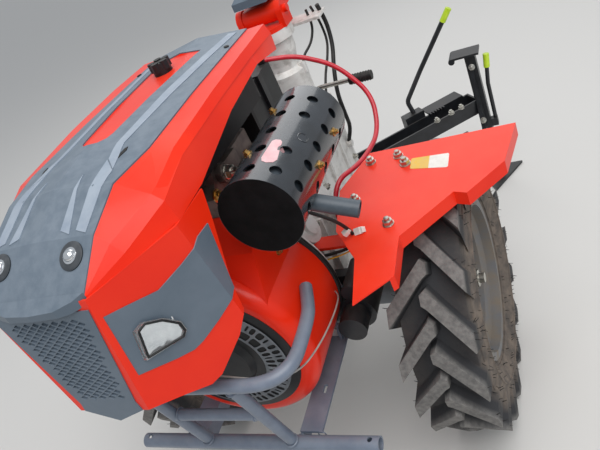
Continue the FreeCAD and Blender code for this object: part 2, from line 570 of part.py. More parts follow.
def tank_and_battery():
    x0, x1, w = TANK_REAR_X, TANK_FRONT_X, TANK_HALF_WIDTH
    tank = box(x0, x1, -w, w, TANK_BASE_Z, TANK_TOP_Z)
    soft = [e for e in tank.Edges if e.BoundBox.ZLength > 10 or e.BoundBox.ZMin > TANK_TOP_Z - 1]
    tank = tank.makeFillet(18, soft)
    neck = rod((FUEL_CAP_X, 0, TANK_TOP_Z), (FUEL_CAP_X, 0, INSET_TOP_Z + 4), 16)
    plate = box(x0 + 12, x1 - 20, -72, 72, TANK_BASE_Z - 4, TANK_BASE_Z)
    legs = [box(230, 240, -70, -60, DUCT_TOP_Z, TANK_BASE_Z - 4)]
    for y in (-70, 60):
        legs.append(box(4, 14, y, y + 10, CRANKCASE_TOP_Z, TANK_BASE_Z - 4))
    stays = []
    for x in (110, 290):
        for y in (-78, 66):
            stays.append(box(x, x + 20, y, y + 12, TANK_TOP_Z - 6, 940).common(bonnet_loft(BONNET_WALL, 6.0)))
    save(fused([tank, neck, plate] + legs + stays), "fuel_tank")
    side = [(136, 744), (136, 770), (196, 772), (200, TANK_BASE_Z - 4), (226, TANK_BASE_Z - 4), (232, 764),
            (254, 748), (254, DUCT_TOP_Z), (234, DUCT_TOP_Z), (228, 738)]
    bracket = plate_xz(side, 60, 82)
    boss = rod((206, 82, 766), (206, 94, 766), 16)
    save(fused([bracket, boss]), "tank_bracket")
    z = INSET_TOP_Z + 4
    cap = rod((FUEL_CAP_X, 0, z), (FUEL_CAP_X, 0, z + 15), 16)
    for k in range(5):
        lobe = rod((FUEL_CAP_X + 13, 0, z + 2), (FUEL_CAP_X + 13, 0, z + 17), 6.5)
        cap = cap.fuse(turned(lobe, (FUEL_CAP_X, 0, 0), (0, 0, 1), 72 * k))
    save(cap.removeSplitter(), "fuel_cap")

    rear, front, low, high = BATTERY_REAR_X, BATTERY_FRONT_X, BATTERY_BASE_Z, BATTERY_TOP_Z
    battery = box(rear, front, BATTERY_Y0, BATTERY_Y1, low, high)
    for x in (rear + 2, front - 16):
        battery = battery.fuse(box(x, x + 14, BATTERY_Y1 - 16, BATTERY_Y1 - 2, high, high + 11))
    battery = battery.removeSplitter().cut(cord(BATTERY_CABLE, BATTERY_CABLE_RADIUS, SEAT_GAP))
    save(battery, "battery")
    x0, x1 = rear - 4, front + 4
    y0, y1 = BATTERY_Y0 - 4, BATTERY_Y1 + 4
    floor = box(x0, x1, y0, y1, low - 4, low)
    lip = box(x0, x1, y0, y1, low, low + 24)
    lip = lip.cut(box(rear, front, BATTERY_Y0, BATTERY_Y1, low - 1, low + 30))
    posts = [box(x, x + 20, -20, 20, 598, low - 4) for x in (-150, -100)]
    strap_x = (rear + front) / 2
    strap = box(strap_x - 9, strap_x + 9, y0 - 3, y1 + 3, low + 6, high + 3)
    strap = strap.cut(box(strap_x - 20, strap_x + 20, BATTERY_Y0, BATTERY_Y1, 500, high))
    save(fused([floor, lip, strap] + posts), "battery_tray")


def inset_outline(grow):
    """Plan of the red recess in the bonnet's panel: round at its front."""
    tip_x, r = 300.0, 26.0 + grow
    points = [(24.0 - grow, -42.0 - grow), (24.0 - grow, 42.0 + grow), (190.0, 33.0 + grow)]
    for k in range(0, 7):
        a = math.radians(90 - 30 * k)
        points.append((tip_x + r * math.cos(a), r * math.sin(a)))
    points.append((190.0, -33.0 - grow))
    return points


# Bonnet: a red shell with a grey centre panel, over a red nose mask with a grille and lamp panels

def bonnet_loft(inset, drop):
    wires = []
    for x, crown, py, pz, by, bz, sy, sz, ky, kz in BONNET_SECTIONS:
        half = [(0, crown - inset), (py - inset / 2, pz - inset), (by - inset, bz - inset),
                (sy - inset, sz - inset / 2), (ky - inset, kz - drop)]
        loop = [(-y, z) for y, z in reversed(half[1:])] + half
        points = [V(x, y, z) for y, z in loop]
        wires.append(Part.makePolygon(points + points[:1]))
    return Part.makeLoft(wires, True, True)


def bonnet():
    outer = bonnet_loft(0.0, 0.0)
    shell = outer.cut(bonnet_loft(BONNET_WALL, 6.0))
    outline = PANEL_OUTLINE + [(x, -y) for x, y in reversed(PANEL_OUTLINE)]
    region = prism([(x, y, 825) for x, y in outline], (0, 0, 120))
    panel = bonnet_loft(-PANEL_THICK, 0.0).cut(outer).common(region)
    window = prism([(x, y, 840) for x, y in inset_outline(0.0)], (0, 0, 100))
    tray_foot = [(x, y, INSET_TOP_Z - BONNET_WALL) for x, y in inset_outline(BONNET_WALL)]
    tray = prism(tray_foot, (0, 0, 40)).common(outer)
    recess = prism([(x, y, INSET_TOP_Z) for x, y in inset_outline(0.0)], (0, 0, 40))
    filler = rod((FUEL_CAP_X, 0, 850), (FUEL_CAP_X, 0, 950), 16.4)
    lip_side = [(540, 837), (558, 826), (558, 817), (551, 817), (540, 824)]
    lip = plate_xz(lip_side, -100, 100)
    lip_plan = [(540, 83), (548, 68), (556, 40), (558, 0), (556, -40), (548, -68), (540, -83)]
    lip = lip.common(prism([(x, y, 800) for x, y in lip_plan], (0, 0, 60)))
    save(shell.fuse(tray).removeSplitter().cut(recess).cut(filler).cut(lip), "bonnet_shell")
    save(fused([panel.cut(window), lip]), "bonnet_panel")
    return lip


def mask_outer(inset, top, base):
    rows = []
    for z, part in ((base, 1), (top, 0)):
        share = (z - MASK_BASE_Z) / (MASK_TOP_Z - MASK_BASE_Z)
        half = []
        for xt, yt, xb, yb in MASK_CORNERS:
            x = xb + (xt - xb) * share
            y = yb + (yt - yb) * share
            half.append((x, y))
        front, side, rear = half
        half = [(front[0] - inset, front[1] - inset * 0.4), (side[0] - inset * 0.6, side[1] - inset),
                (rear[0] - inset * 3, rear[1] - inset)]
        loop = half + [(x, -y) for x, y in reversed(half)]
        points = [V(x, y, z) for x, y in loop]
        rows.append(Part.makePolygon(points + points[:1]))
    return Part.makeLoft(rows, True, True)


def mask_front_x(z):
    """X of the mask's flat front at a height."""
    top_x, base_x = MASK_CORNERS[0][0], MASK_CORNERS[0][2]
    return top_x + (base_x - top_x) * (MASK_TOP_Z - z) / (MASK_TOP_Z - MASK_BASE_Z)


def grille_prism(offset, depth, shrink=0.0):
    """The grille's outline laid on the mask's front, offset forward, and pushed back by depth."""
    half = [(y - shrink, z) for y, z in GRILLE_OUTLINE[:-1]]
    half[0] = (half[0][0], half[0][1] - shrink)
    loop = half + [GRILLE_OUTLINE[-1]] + [(-y, z) for y, z in reversed(half)]
    return prism([(mask_front_x(z) + offset, y, z) for y, z in loop], (-depth, 0, 0))


def mesh_pockets():
    """Diamond pockets in staggered rows inside the grille's border."""
    width, height = MESH_WIDTH - MESH_RIB, MESH_HEIGHT - MESH_RIB * MESH_HEIGHT / MESH_WIDTH
    top_half, top_z = GRILLE_OUTLINE[0]
    low_half, low_z = GRILLE_OUTLINE[1]
    pockets = []
    rows = int((top_z - low_z - 2 * GRILLE_BORDER) / (MESH_HEIGHT / 2))
    for row in range(rows):
        z = top_z - GRILLE_BORDER - MESH_HEIGHT / 2 - row * MESH_HEIGHT / 2
        limit = low_half + (top_half - low_half) * (z - low_z) / (top_z - low_z) - GRILLE_BORDER
        shift = MESH_WIDTH / 2 if row % 2 else 0.0
        count = int((limit - width / 2 - shift) / MESH_WIDTH)
        places = [shift + i * MESH_WIDTH for i in range(count + 1)]
        places += [-y for y in places if y > 1]
        x = mask_front_x(z) + GRILLE_STEP + 2
        for y in places:
            y0, y1, z0, z1 = y - width / 2, y + width / 2, z - height / 2, z + height / 2
            corners = [(x, y1, z), (x, y, z1), (x, y0, z), (x, y, z0)]
            pockets.append(prism(corners, (-GRILLE_POCKET - 2, 0, 0)))
    return Part.makeCompound(pockets)


def nose_mask(lip):
    top, base = MASK_TOP_Z, MASK_BASE_Z
    outer = mask_outer(0.0, top, base)
    shell = outer.cut(mask_outer(BONNET_WALL, top, base))
    shell = shell.cut(box(340, 353, -200, 200, base - 5, top + 5))
    side = [(x, -200, z) for x, z in MASK_EDGE] + [(600, -200, top + 1)]
    shell = shell.common(prism(side, (0, 400, 0)))
    lamp_holes = [plate_xz(HEADLAMP, 40, 220), plate_xz(HEADLAMP, -220, -40)]
    shell = shell.cut(grille_prism(20, 60)).cut(lip).cut(Part.makeCompound(lamp_holes))
    save(shell, "nose_mask")
    plate = grille_prism(GRILLE_STEP, GRILLE_THICK).cut(mesh_pockets())
    save(plate, "grille")
    lamp_back = mask_outer(LAMP_DEPTH, top, base)
    for name, s in (("left", 1), ("right", -1)):
        y0, y1 = sorted((s * 40, s * 220))
        panel = mask_outer(-PANEL_STEP, top, base).cut(outer).common(plate_xz(SIDE_PANEL, y0, y1))
        save(panel.cut(plate_xz(HEADLAMP, y0, y1)), "side_panel_" + name)
        lamp = mask_outer(-LAMP_STEP, top, base).cut(lamp_back).common(plate_xz(HEADLAMP, y0, y1))
        save(lamp, "headlamp_" + name)


# Front guard of welded tube, and the rails that carry the engine

def front_guard():
    x, z, r = CROSS_TUBE_X, CROSS_TUBE_Z, CROSS_TUBE_RADIUS
    tube_wall = 2.6
    cross = ring((x, -CROSS_TUBE_HALF, z), (x, CROSS_TUBE_HALF, z), r, r - tube_wall)
    for y in (-CROSS_TUBE_HALF + 15, CROSS_TUBE_HALF - 15):
        cross = cross.cut(rod((x, y, z - 20), (x, y, z + 20), 4.5))
    save(cross, "guard_cross_tube")
    filled = rod((x, -CROSS_TUBE_HALF, z), (x, CROSS_TUBE_HALF, z), r)
    h = HOOP_HALF
    corners = [(HOOP_REAR_X, -h, HOOP_Z), (HOOP_FRONT_X, -h, HOOP_Z), (HOOP_FRONT_X, h, HOOP_Z), (HOOP_REAR_X, h, HOOP_Z)]
    hoop = bent_tube(corners, [HOOP_BEND, HOOP_BEND], HOOP_RADIUS)
    tabs = []
    tab_z = HOOP_Z - HOOP_RADIUS
    for s in (1, -1):
        y0, y1 = sorted((s * (CRANKCASE_HALF_WIDTH - 16), s * (h + 2)))
        tabs.append(box(HOOP_REAR_X + 4, HOOP_REAR_X + 34, y0, y1, tab_z - 5, tab_z + 2))
    save(fused([hoop] + tabs), "guard_hoop")
    strut_radius = HOOP_RADIUS - 0.5
    struts = []
    for name, y in (("left", STRUT_Y), ("right", -STRUT_Y)):
        strut = rod((x, y, z), (HOOP_FRONT_X - 2, y, HOOP_Z), strut_radius).cut(filled).cut(hoop)
        struts.append(strut)
        save(strut, "guard_strut_" + name)
    share = (MID_TUBE_Z - z) / (HOOP_Z - z)
    mid_x = x + (HOOP_FRONT_X - 2 - x) * share
    mid = rod((mid_x, -STRUT_Y, MID_TUBE_Z), (mid_x, STRUT_Y, MID_TUBE_Z), strut_radius - 0.5)
    save(mid.cut(struts[0]).cut(struts[1]), "guard_mid_tube")
    y1 = RAIL_Y1
    base = ENGINE_BASE_Z
    foot_outline = [(FOOT_REAR_X, base), (FOOT_REAR_X, FOOT_TOP_Z), (FOOT_FRONT_X - 40, FOOT_TOP_Z),
                    (FOOT_FRONT_X - 12, FOOT_TOP_Z - 14), (FOOT_FRONT_X, base + 16), (FOOT_FRONT_X, base)]
    for name, s in (("left", 1), ("right", -1)):
        top = box(RAIL_REAR_X, x - r, RAIL_Y0, y1, base - RAIL_THICK, base)
        web = box(RAIL_REAR_X, x - r, RAIL_Y0, RAIL_Y0 + RAIL_THICK, base - RAIL_DEPTH, base - RAIL_THICK)
        foot = plate_xz(foot_outline, y1 - 13, y1 - 8)
        rail = fused([top, web, foot])
        for hx in (70, 292):
            rail = rail.cut(box(hx, hx + 18, RAIL_Y0 + 22, RAIL_Y0 + 29, 330, 350))
        save(rail if s > 0 else mirrored(rail), "engine_rail_" + name)


# Fenders: a folded steel sheet beside the engine, with a turned-down edge

def fender_point(x, y, dz=0.0):
    return (x, y, FENDER_Z + dz - (x + 28.0) * math.tan(math.radians(FENDER_SLOPE_DEG)))


def fender():
    top = prism([fender_point(x, y) for x, y in FENDER_OUTLINE], (0, 0, FENDER_THICK))
    flange = prism([fender_point(x, y, -FENDER_FLANGE) for x, y in FENDER_OUTLINE], (0, 0, FENDER_FLANGE))
    wire = Part.makePolygon([V(x, y, 0) for x, y in FENDER_OUTLINE + FENDER_OUTLINE[:1]])
    inner = wire.makeOffset2D(-FENDER_THICK)
    if inner.BoundBox.XLength > wire.BoundBox.XLength:
        inner = wire.makeOffset2D(FENDER_THICK)
    core = Part.Face(inner).extrude(V(0, 0, 400))
    core.translate(V(0, 0, 400))
    edge = flange.cut(core)
    # only the outer and front edges are turned down
    folded = [(-60, 300), (-60, 560), (360, 560), (360, 300), (300, 322), (200, 300)]
    edge = edge.common(prism([(x, y, 400) for x, y in folded], (0, 0, 300)))
    return fused([top, edge])


def fenders():
    x0, x1 = FENDER_ARM_X
    arm = box(x0, x1, CRANKCASE_HALF_WIDTH - 16, 236, 518, 524)
    post = prism([(x0, 230, 524), (x1, 230, 524), fender_point(x1, 230), fender_point(x0, 230)], (0, 6, 0))
    left = fused([fender(), arm, post])
    save(left, "fender_left")
    save(mirrored(left), "fender_right")


# Handlebars on the turret: a swivelling cast head, then the bars on a cross pin

def handlebars():
    x = TURRET_X
    plate_top = TURRET_TOP_Z + 10
    base = rod((x, 0, TURRET_TOP_Z + 0.4), (x, 0, plate_top), TURRET_FLANGE_RADIUS - 1)
    stem = rod((x, 0, TURRET_TOP_Z - 60), (x, 0, TURRET_TOP_Z + 1), HEAD_STEM_RADIUS)
    ears = []
    for s in (1, -1):
        y0, y1 = sorted((s * EAR_INNER, s * EAR_OUTER))
        ears.append(box(x - EAR_RADIUS, x + EAR_RADIUS, y0, y1, TURRET_TOP_Z + 0.4, PIVOT_Z))
        ears.append(rod((x, y0, PIVOT_Z), (x, y1, PIVOT_Z), EAR_RADIUS))
    pin = rod((x, -EAR_OUTER - 8, PIVOT_Z), (x, EAR_OUTER + 8, PIVOT_Z), 9)
    head = fused([base, stem] + ears + [pin])
    save(head, "handle_head")

    inner = EAR_INNER - 0.6
    lug_block = rod((x, -inner, PIVOT_Z), (x, inner, PIVOT_Z), 21)
    arm_side = [(x, PIVOT_Z - 14), (x, PIVOT_Z + 20), (x - 110, PIVOT_Z + 34), (x - 110, PIVOT_Z - 2)]
    arm = plate_xz(arm_side, -inner, inner)
    yoke = box(x - 150, x - 104, -60, 60, PIVOT_Z - 2, PIVOT_Z + 34)
    clamp = fused([lug_block, arm, yoke]).cut(rod((x, -60, PIVOT_Z), (x, 60, PIVOT_Z), 9 + RUNNING_GAP))
    save(clamp, "handle_clamp")
    console = box(x - 150, x + 40, -40, 40, PIVOT_Z + 34, PIVOT_Z + 64)
    console = console.makeChamfer(14, [e for e in console.Edges if e.BoundBox.ZMin > PIVOT_Z + 63])
    save(console, "control_console")
    points = [(x - 136, 52, PIVOT_Z + 18), (x - 200, 80, GRIP_Z - 48), (x - 430, 236, GRIP_Z - 8), (GRIP_END_X, 290, GRIP_Z)]
    in_yoke = box(x - 150, x - 100, 0, 60, PIVOT_Z - 10, PIVOT_Z + 34)
    for name, s in (("left", 1), ("right", -1)):
        bar = bent_tube(points, [40, 110], BAR_RADIUS).cut(in_yoke)
        end, before = V(*points[-1]), V(*points[-2])
        along = (end - before).normalize()
        start = end - along * GRIP_LENGTH
        grip = Part.makeCylinder(GRIP_RADIUS, GRIP_LENGTH + 4, start, along)
        grip = grip.cut(Part.makeCylinder(BAR_RADIUS + SEAT_GAP, GRIP_LENGTH, start, along))
        mount = end - along * (GRIP_LENGTH + 44)
        ring_clamp = Part.makeCylinder(BAR_RADIUS + 5, 30, mount, along)
        ring_clamp = ring_clamp.cut(Part.makeCylinder(BAR_RADIUS + SEAT_GAP, 30, mount, along))
        hinge = Part.makeBox(26, 12, 30, V(mount.x - 27, mount.y - 6, mount.z - BAR_RADIUS - 32))
        side = [(mount.x - 2, mount.z - 50), (mount.x - 2, mount.z - 36), (mount.x - 60, mount.z - 50),
                (GRIP_END_X + 20, mount.z - 46), (GRIP_END_X + 20, mount.z - 52), (mount.x - 60, mount.z - 58)]
        blade = plate_xz(side, mount.y - 5, mount.y + 5)
        lever = fused([ring_clamp, hinge, blade])
        for solid, node in ((bar, "handlebar_"), (grip, "grip_"), (lever, "clutch_lever_")):
            save(solid if s > 0 else mirrored(solid), node + name)


# Cables held at both ends, and the shift lever

def cables():
    save(cord(BATTERY_CABLE, BATTERY_CABLE_RADIUS), "battery_cable")
    tubes = [cord(route, radius) for route, radius in CONTROL_CABLES]
    save(Part.makeCompound(tubes), "control_cables")


def shift_lever():
    lever = bent_tube(SHIFT_LEVER, [24, 40], SHIFT_LEVER_RADIUS)
    save(lever, "shift_lever")
    end, before = V(*SHIFT_LEVER[-1]), V(*SHIFT_LEVER[-2])
    along = (end - before).normalize()
    start = end - along * (end.y - SHIFT_GRIP_START_Y)
    grip = rod(start, end + along * 3, SHIFT_GRIP_RADIUS)
    save(grip.cut(rod(start - along, end + along * 0.4, SHIFT_LEVER_RADIUS + SEAT_GAP)), "shift_grip")


# Tool carrier on the rear hitch: a yawed channel beam that ends in a tall post with a ground foot

def tool_carrier():
    top = DRAWBAR_TOP_Z
    a, b = V(-560, -20, 0), V(-800, 322, 0)
    along = (b - a).normalize()
    across = V(-along.y, along.x, 0)
    half = BEAM_WIDTH / 2
    length = (b - a).Length

    def beam_box(s0, s1, t0, t1, z0, z1):
        points = [a + along * s + across * t for s, t in ((s0, t0), (s1, t0), (s1, t1), (s0, t1))]
        return prism([(p.x, p.y, z0) for p in points], (0, 0, z1 - z0))

    x, y = b.x, b.y
    post = box(x - 14, x + 14, y + 4, y + 34, 44, 440)
    brace = prism([(x + 14, y + 10, 206), (x + 60, y + 10, 206), (x + 14, y + 10, 410)], (0, 12, 0))

    outer = beam_box(0, length, -half, half, top - BEAM_SIZE, top)
    channel = outer.cut(beam_box(6, length - 6, -half + 6, half - 6, top - BEAM_SIZE + 6, top + 1))
    channel = channel.cut(post).cut(brace)
    drawbar = box(-560, -486, -20, 20, top - BEAM_SIZE, top).cut(outer)
    plate = beam_box(length - 140, length - 20, half - 6, half + 44, top, top + 6)
    teeth = []
    for k in range(6):
        s0 = length - 138 + 9 * k
        teeth.append(beam_box(s0, s0 + 4, half - 16, half - 5, top, top + 6))
    block = beam_box(length - 214, length - 150, half, half + 34, top - 20, top + 22)
    save(fused([channel, drawbar, plate, block] + teeth), "carrier_beam")
    foot = a + along * (length - 176) + across * (half + 17)
    points = [(foot.x, foot.y, top + 18), (foot.x - 4, foot.y - 10, top + 60), (-779, 194, 430), (-790, 318, 585)]
    lever = bent_tube(points, [22, 70], 7).cut(block)
    save(lever, "carrier_lever")

    cap = box(x - 26, x + 34, y - 30, y + 48, 440, 446)
    curl = rod((x - 26, y - 30, 437), (x + 34, y - 30, 437), 9)
    foot_plan = [(x + 90, y + 10), (x - 50, y - 60), (x - 50, y + 90)]
    share = prism([(px, py, GROUND_Z) for px, py in foot_plan], (0, 0, 8))
    stem = box(x - 14, x + 14, y + 4, y + 34, GROUND_Z + 4, 44)
    save(fused([post, brace, cap, curl, share, stem]), "carrier_post")
    rod2 = bent_tube([(x - 2, y + 48, 196), (x - 2, y + 50, 330), (x - 10, y + 62, 418)], [40], 6)
    eye = box(x - 12, x + 10, y + 34, y + 54, 190, 214)
    save(fused([rod2, eye]), "post_lever")


wheels()
gearbox()
engine()
fan_shroud()
recoil_starter()
muffler()
air_filter()
starter_motor()
tank_and_battery()
nose_mask(bonnet())
front_guard()
fenders()
handlebars()
cables()
shift_lever()
tool_carrier()
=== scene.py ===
# Walk-behind power tiller, dressed over its CAD frame: finishes for every solid, and the small parts
# and fittings that the solids leave out. Sizes are in millimetres, laid out about the wheel axle.
import bpy
import math
import random
from mathutils import Matrix, Vector


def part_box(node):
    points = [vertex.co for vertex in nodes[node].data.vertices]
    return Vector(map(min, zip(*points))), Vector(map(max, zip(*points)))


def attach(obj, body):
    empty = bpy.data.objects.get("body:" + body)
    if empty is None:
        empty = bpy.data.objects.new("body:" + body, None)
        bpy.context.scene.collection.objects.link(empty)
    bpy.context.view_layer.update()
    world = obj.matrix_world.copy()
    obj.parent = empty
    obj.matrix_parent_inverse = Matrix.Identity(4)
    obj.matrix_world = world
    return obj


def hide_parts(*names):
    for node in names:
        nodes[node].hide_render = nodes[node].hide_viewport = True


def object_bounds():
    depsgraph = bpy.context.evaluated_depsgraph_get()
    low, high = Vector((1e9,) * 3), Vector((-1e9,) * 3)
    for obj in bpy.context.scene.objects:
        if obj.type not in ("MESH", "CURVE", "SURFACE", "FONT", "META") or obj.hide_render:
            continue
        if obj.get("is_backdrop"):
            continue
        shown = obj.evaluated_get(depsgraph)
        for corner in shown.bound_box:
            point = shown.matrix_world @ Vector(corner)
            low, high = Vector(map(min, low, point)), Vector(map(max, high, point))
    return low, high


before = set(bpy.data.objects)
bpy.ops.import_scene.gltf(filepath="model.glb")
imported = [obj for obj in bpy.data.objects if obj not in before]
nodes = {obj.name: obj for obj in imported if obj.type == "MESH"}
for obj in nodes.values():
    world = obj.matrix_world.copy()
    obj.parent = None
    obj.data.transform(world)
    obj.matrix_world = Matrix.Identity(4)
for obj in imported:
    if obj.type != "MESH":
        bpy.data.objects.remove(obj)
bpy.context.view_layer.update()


# Bonnet, nose mask, fan shroud, fenders and handle clamp
# Pressed and cast steel pieces in stoved orange-red enamel: glossy, with a slight orange peel that
# bends reflections, and field dust that dulls what faces up.

hub_low, hub_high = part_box("hub_left")
AXLE = (hub_low.x + hub_high.x) / 2


def at(x, y, z):
    """A place in the frame's metres, from millimetres about the wheel axle."""
    return Vector((AXLE + x / 1000, y / 1000, z / 1000))


def linear(hex_colour):
    """The linear colour of an sRGB hex value."""
    values = [int(hex_colour[i:i + 2], 16) / 255 for i in (1, 3, 5)]
    return tuple(v / 12.92 if v <= 0.04045 else ((v + 0.055) / 1.055) ** 2.4 for v in values) + (1.0,)


def add_node(material, kind, values, **settings):
    """Add a shader node: values fill or link its sockets, settings are its own properties."""
    node = material.node_tree.nodes.new(kind)
    for name, value in settings.items():
        setattr(node, name, value)
    connect(material, node, values)
    return node


def connect(material, node, values):
    """Fill or link the sockets of a node, named or numbered."""
    for socket, value in values.items():
        if isinstance(value, bpy.types.NodeSocket):
            material.node_tree.links.new(value, node.inputs[socket])
        else:
            node.inputs[socket].default_value = value


def new_finish(name, slot, **sockets):
    """A material whose shader starts from the real finish's plain values. The slot argument is not used."""
    material = bpy.data.materials.new(name)
    material.use_nodes = True
    shader = material.node_tree.nodes["Principled BSDF"]
    connect(material, shader, {key.replace("_", " "): value for key, value in sockets.items()})
    return material, shader


def patches(material, size_mm, low=0.0, high=1.0, detail=4.0, stretch=(1.0, 1.0, 1.0)):
    """Cloudy patches of a real size, as a number from low to high."""
    place = add_node(material, "ShaderNodeTexCoord", {}).outputs["Object"]
    turned = add_node(material, "ShaderNodeMapping", {"Vector": place, "Scale": stretch})
    noise = add_node(material, "ShaderNodeTexNoise", {"Vector": turned.outputs[0], "Scale": 1000 / size_mm,
                                                      "Detail": detail, "Roughness": 0.6})
    spread = add_node(material, "ShaderNodeMapRange",
                      {"Value": noise.outputs[0], 1: 0.36, 2: 0.64, 3: low, 4: high})
    return spread.outputs[0]


def blend(material, share, first, second):
    """Mix two colours, each a hex value or a socket."""
    colours = [linear(c) if isinstance(c, str) else c for c in (first, second)]
    values = {0: share, 6: colours[0], 7: colours[1]}
    return add_node(material, "ShaderNodeMix", values, data_type="RGBA").outputs[2]


def times(material, first, second):
    """The product of two numbers."""
    return add_node(material, "ShaderNodeMath", {0: first, 1: second}, operation="MULTIPLY").outputs[0]


def facing_up(material, start=0.35, end=0.95):
    """How far the surface faces up, from 0 to 1."""
    normal = add_node(material, "ShaderNodeNewGeometry", {}).outputs["Normal"]
    z = add_node(material, "ShaderNodeSeparateXYZ", {0: normal}).outputs[2]
    return add_node(material, "ShaderNodeMapRange", {"Value": z, 1: start, 2: end}).outputs[0]


def settle(material, shader, colour, dust_hex, most, patch_mm, roughness, dusty_roughness):
    """Give a shader its colour and roughness, with dust in patches on what faces up."""
    dusty = times(material, facing_up(material), patches(material, patch_mm, 0.15, most))
    dull = add_node(material, "ShaderNodeMapRange", {"Value": dusty, 3: roughness, 4: dusty_roughness})
    dusted = blend(material, dusty, colour, dust_hex)
    connect(material, shader, {"Base Color": dusted, "Roughness": dull.outputs[0]})


def surface(material, shader, size_mm, depth_mm, detail=2.0, strength=1.0):
    """Bumps of a real width and depth."""
    height = patches(material, size_mm, detail=detail)
    bump = add_node(material, "ShaderNodeBump",
                    {"Strength": strength, "Distance": depth_mm / 1000, "Height": height})
    connect(material, shader, {"Normal": bump.outputs[0]})


# Stoved enamel over pressed steel; the peel is 3 mm wide, and drawn at 9 mm so that it shows.
red_enamel, shader = new_finish("stoved_red_enamel", "red_paint", IOR=1.5, Specular_IOR_Level=0.24,
                                Coat_Weight=0.06, Coat_Roughness=0.12)
tone = blend(red_enamel, patches(red_enamel, 160), "#EC280E", "#F43112")
settle(red_enamel, shader, tone, "#E8705C", 0.1, 30, 0.3, 0.45)
surface(red_enamel, shader, 9, 0.02)


def dress(material, *names):
    """Give CAD nodes a finish."""
    for name in names:
        slots = nodes[name].material_slots
        for slot in slots:
            slot.material = material
        if not slots:
            nodes[name].data.materials.append(material)


dress(red_enamel, "bonnet_shell", "nose_mask", "fan_shroud", "fender_left", "fender_right", "handle_head",
      "handle_clamp")


# Nuts and bolts
# A zinc-plated hexagon nut on its washer with the bolt's end through it, and a small screw with a domed
# end. Each is modelled once, at the size of an M8, and copied to every joint.

def deselect():
    """Leave nothing selected, so that an operator acts on its own piece alone."""
    bpy.ops.object.select_all(action="DESELECT")


def select_faces(piece, wanted):
    """In edit mode, select the faces whose centre and normal pass a test."""
    bpy.ops.object.mode_set(mode="OBJECT")
    for corner in list(piece.data.vertices) + list(piece.data.edges):
        corner.select = False
    for face in piece.data.polygons:
        face.select = wanted(face.center, face.normal)
    bpy.ops.object.mode_set(mode="EDIT")


def join(pieces):
    """Join pieces into the first one."""
    deselect()
    for piece in pieces:
        piece.select_set(True)
    bpy.context.view_layer.objects.active = pieces[0]
    bpy.ops.object.join()
    return bpy.context.object


def disc(radius_mm, height_mm, base_mm=0.0, sides=24, lip_mm=0.0):
    """A round or many-sided disc along Z on its base height, with a chamfer of lip_mm round its top."""
    deselect()
    bpy.ops.mesh.primitive_cylinder_add(vertices=sides, radius=radius_mm / 1000, depth=height_mm / 1000,
                                        location=(0, 0, (base_mm + height_mm / 2) / 1000))
    piece = bpy.context.object
    bpy.ops.object.transform_apply(location=True, rotation=True, scale=True)
    if lip_mm:
        select_faces(piece, lambda centre, normal: normal.z > 0.9)
        bpy.ops.mesh.inset(thickness=lip_mm / 1000)
        bpy.ops.transform.translate(value=(0, 0, 0.4 * lip_mm / 1000))
        bpy.ops.object.mode_set(mode="OBJECT")
    return piece


def copies(master, places, keep=True):
    """Copies of a piece that stands on Z, joined: each has its place, the way it faces, and its size."""
    made = []
    for place, facing, size in places:
        copy = master.copy()
        copy.data = master.data.copy()
        bpy.context.scene.collection.objects.link(copy)
        turn = Vector((0, 0, 1)).rotation_difference(Vector(facing)).to_matrix().to_4x4()
        copy.data.transform(Matrix.Translation(place) @ turn @ Matrix.Scale(size, 4))
        made.append(copy)
    if not keep:
        bpy.data.objects.remove(master)
    return join(made)


def fit(piece, name, body, material, smooth_deg=35):
    """Name a finished piece, settle its place in its mesh, and give it its finish, slot and body."""
    deselect()
    piece.select_set(True)
    bpy.context.view_layer.objects.active = piece
    bpy.ops.object.transform_apply(location=True, rotation=True, scale=True)
    bpy.ops.object.shade_smooth_by_angle(angle=math.radians(smooth_deg))
    piece.name = name
    piece.data.name = name
    piece.data.materials.clear()
    piece.data.materials.append(material)
    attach(piece, body)
    return piece


def touch(node, start, direction, size=1.0):
    """Where a line meets a CAD node and how it faces there, as a place for a copy."""
    hit, place, normal = nodes[node].ray_cast(start, Vector(direction))[:3]
    if not hit:
        raise ValueError("no surface on " + node + " from " + str(tuple(start)))
    return place, normal, size


bpy.context.scene.tool_settings.mesh_select_mode = (False, False, True)
zinc, shader = new_finish("zinc_plated_steel", "steel", Metallic=1.0)
tone = blend(zinc, patches(zinc, 14), "#B9B7AE", "#CFCDC6")
settle(zinc, shader, tone, "#8F8577", 0.35, 10, 0.3, 0.6)
surface(zinc, shader, 3, 0.03)
dress(zinc, "shift_lever", "hub_left", "hub_right")

brass_zinc, shader = new_finish("yellow_passivated_zinc", "steel", Metallic=1.0)
tone = blend(brass_zinc, patches(brass_zinc, 8), "#B08A4E", "#CFAE72")
settle(brass_zinc, shader, tone, "#8F7A5C", 0.3, 8, 0.32, 0.6)
surface(brass_zinc, shader, 3, 0.03)

black_rubber, shader = new_finish("extruded_black_rubber", "black_rubber", IOR=1.5, Specular_IOR_Level=0.4)
tone = blend(black_rubber, patches(black_rubber, 12), "#141414", "#242323")
settle(black_rubber, shader, tone, "#6A645C", 0.3, 10, 0.55, 0.8)
surface(black_rubber, shader, 3, 0.05)
dress(black_rubber, "control_cables", "grip_left", "grip_right", "shift_grip")

nut = join([disc(8.4, 1.6, lip_mm=0.5), disc(7.5, 6.0, 1.6, sides=6, lip_mm=1.0),
            disc(4.0, 4.5, 7.6, 16, 0.8)])
screw = join([disc(9.0, 1.4, lip_mm=0.4), disc(6.6, 4.2, 1.4, sides=6, lip_mm=0.9),
              disc(4.6, 3.4, 5.6, 16, 2.4)])
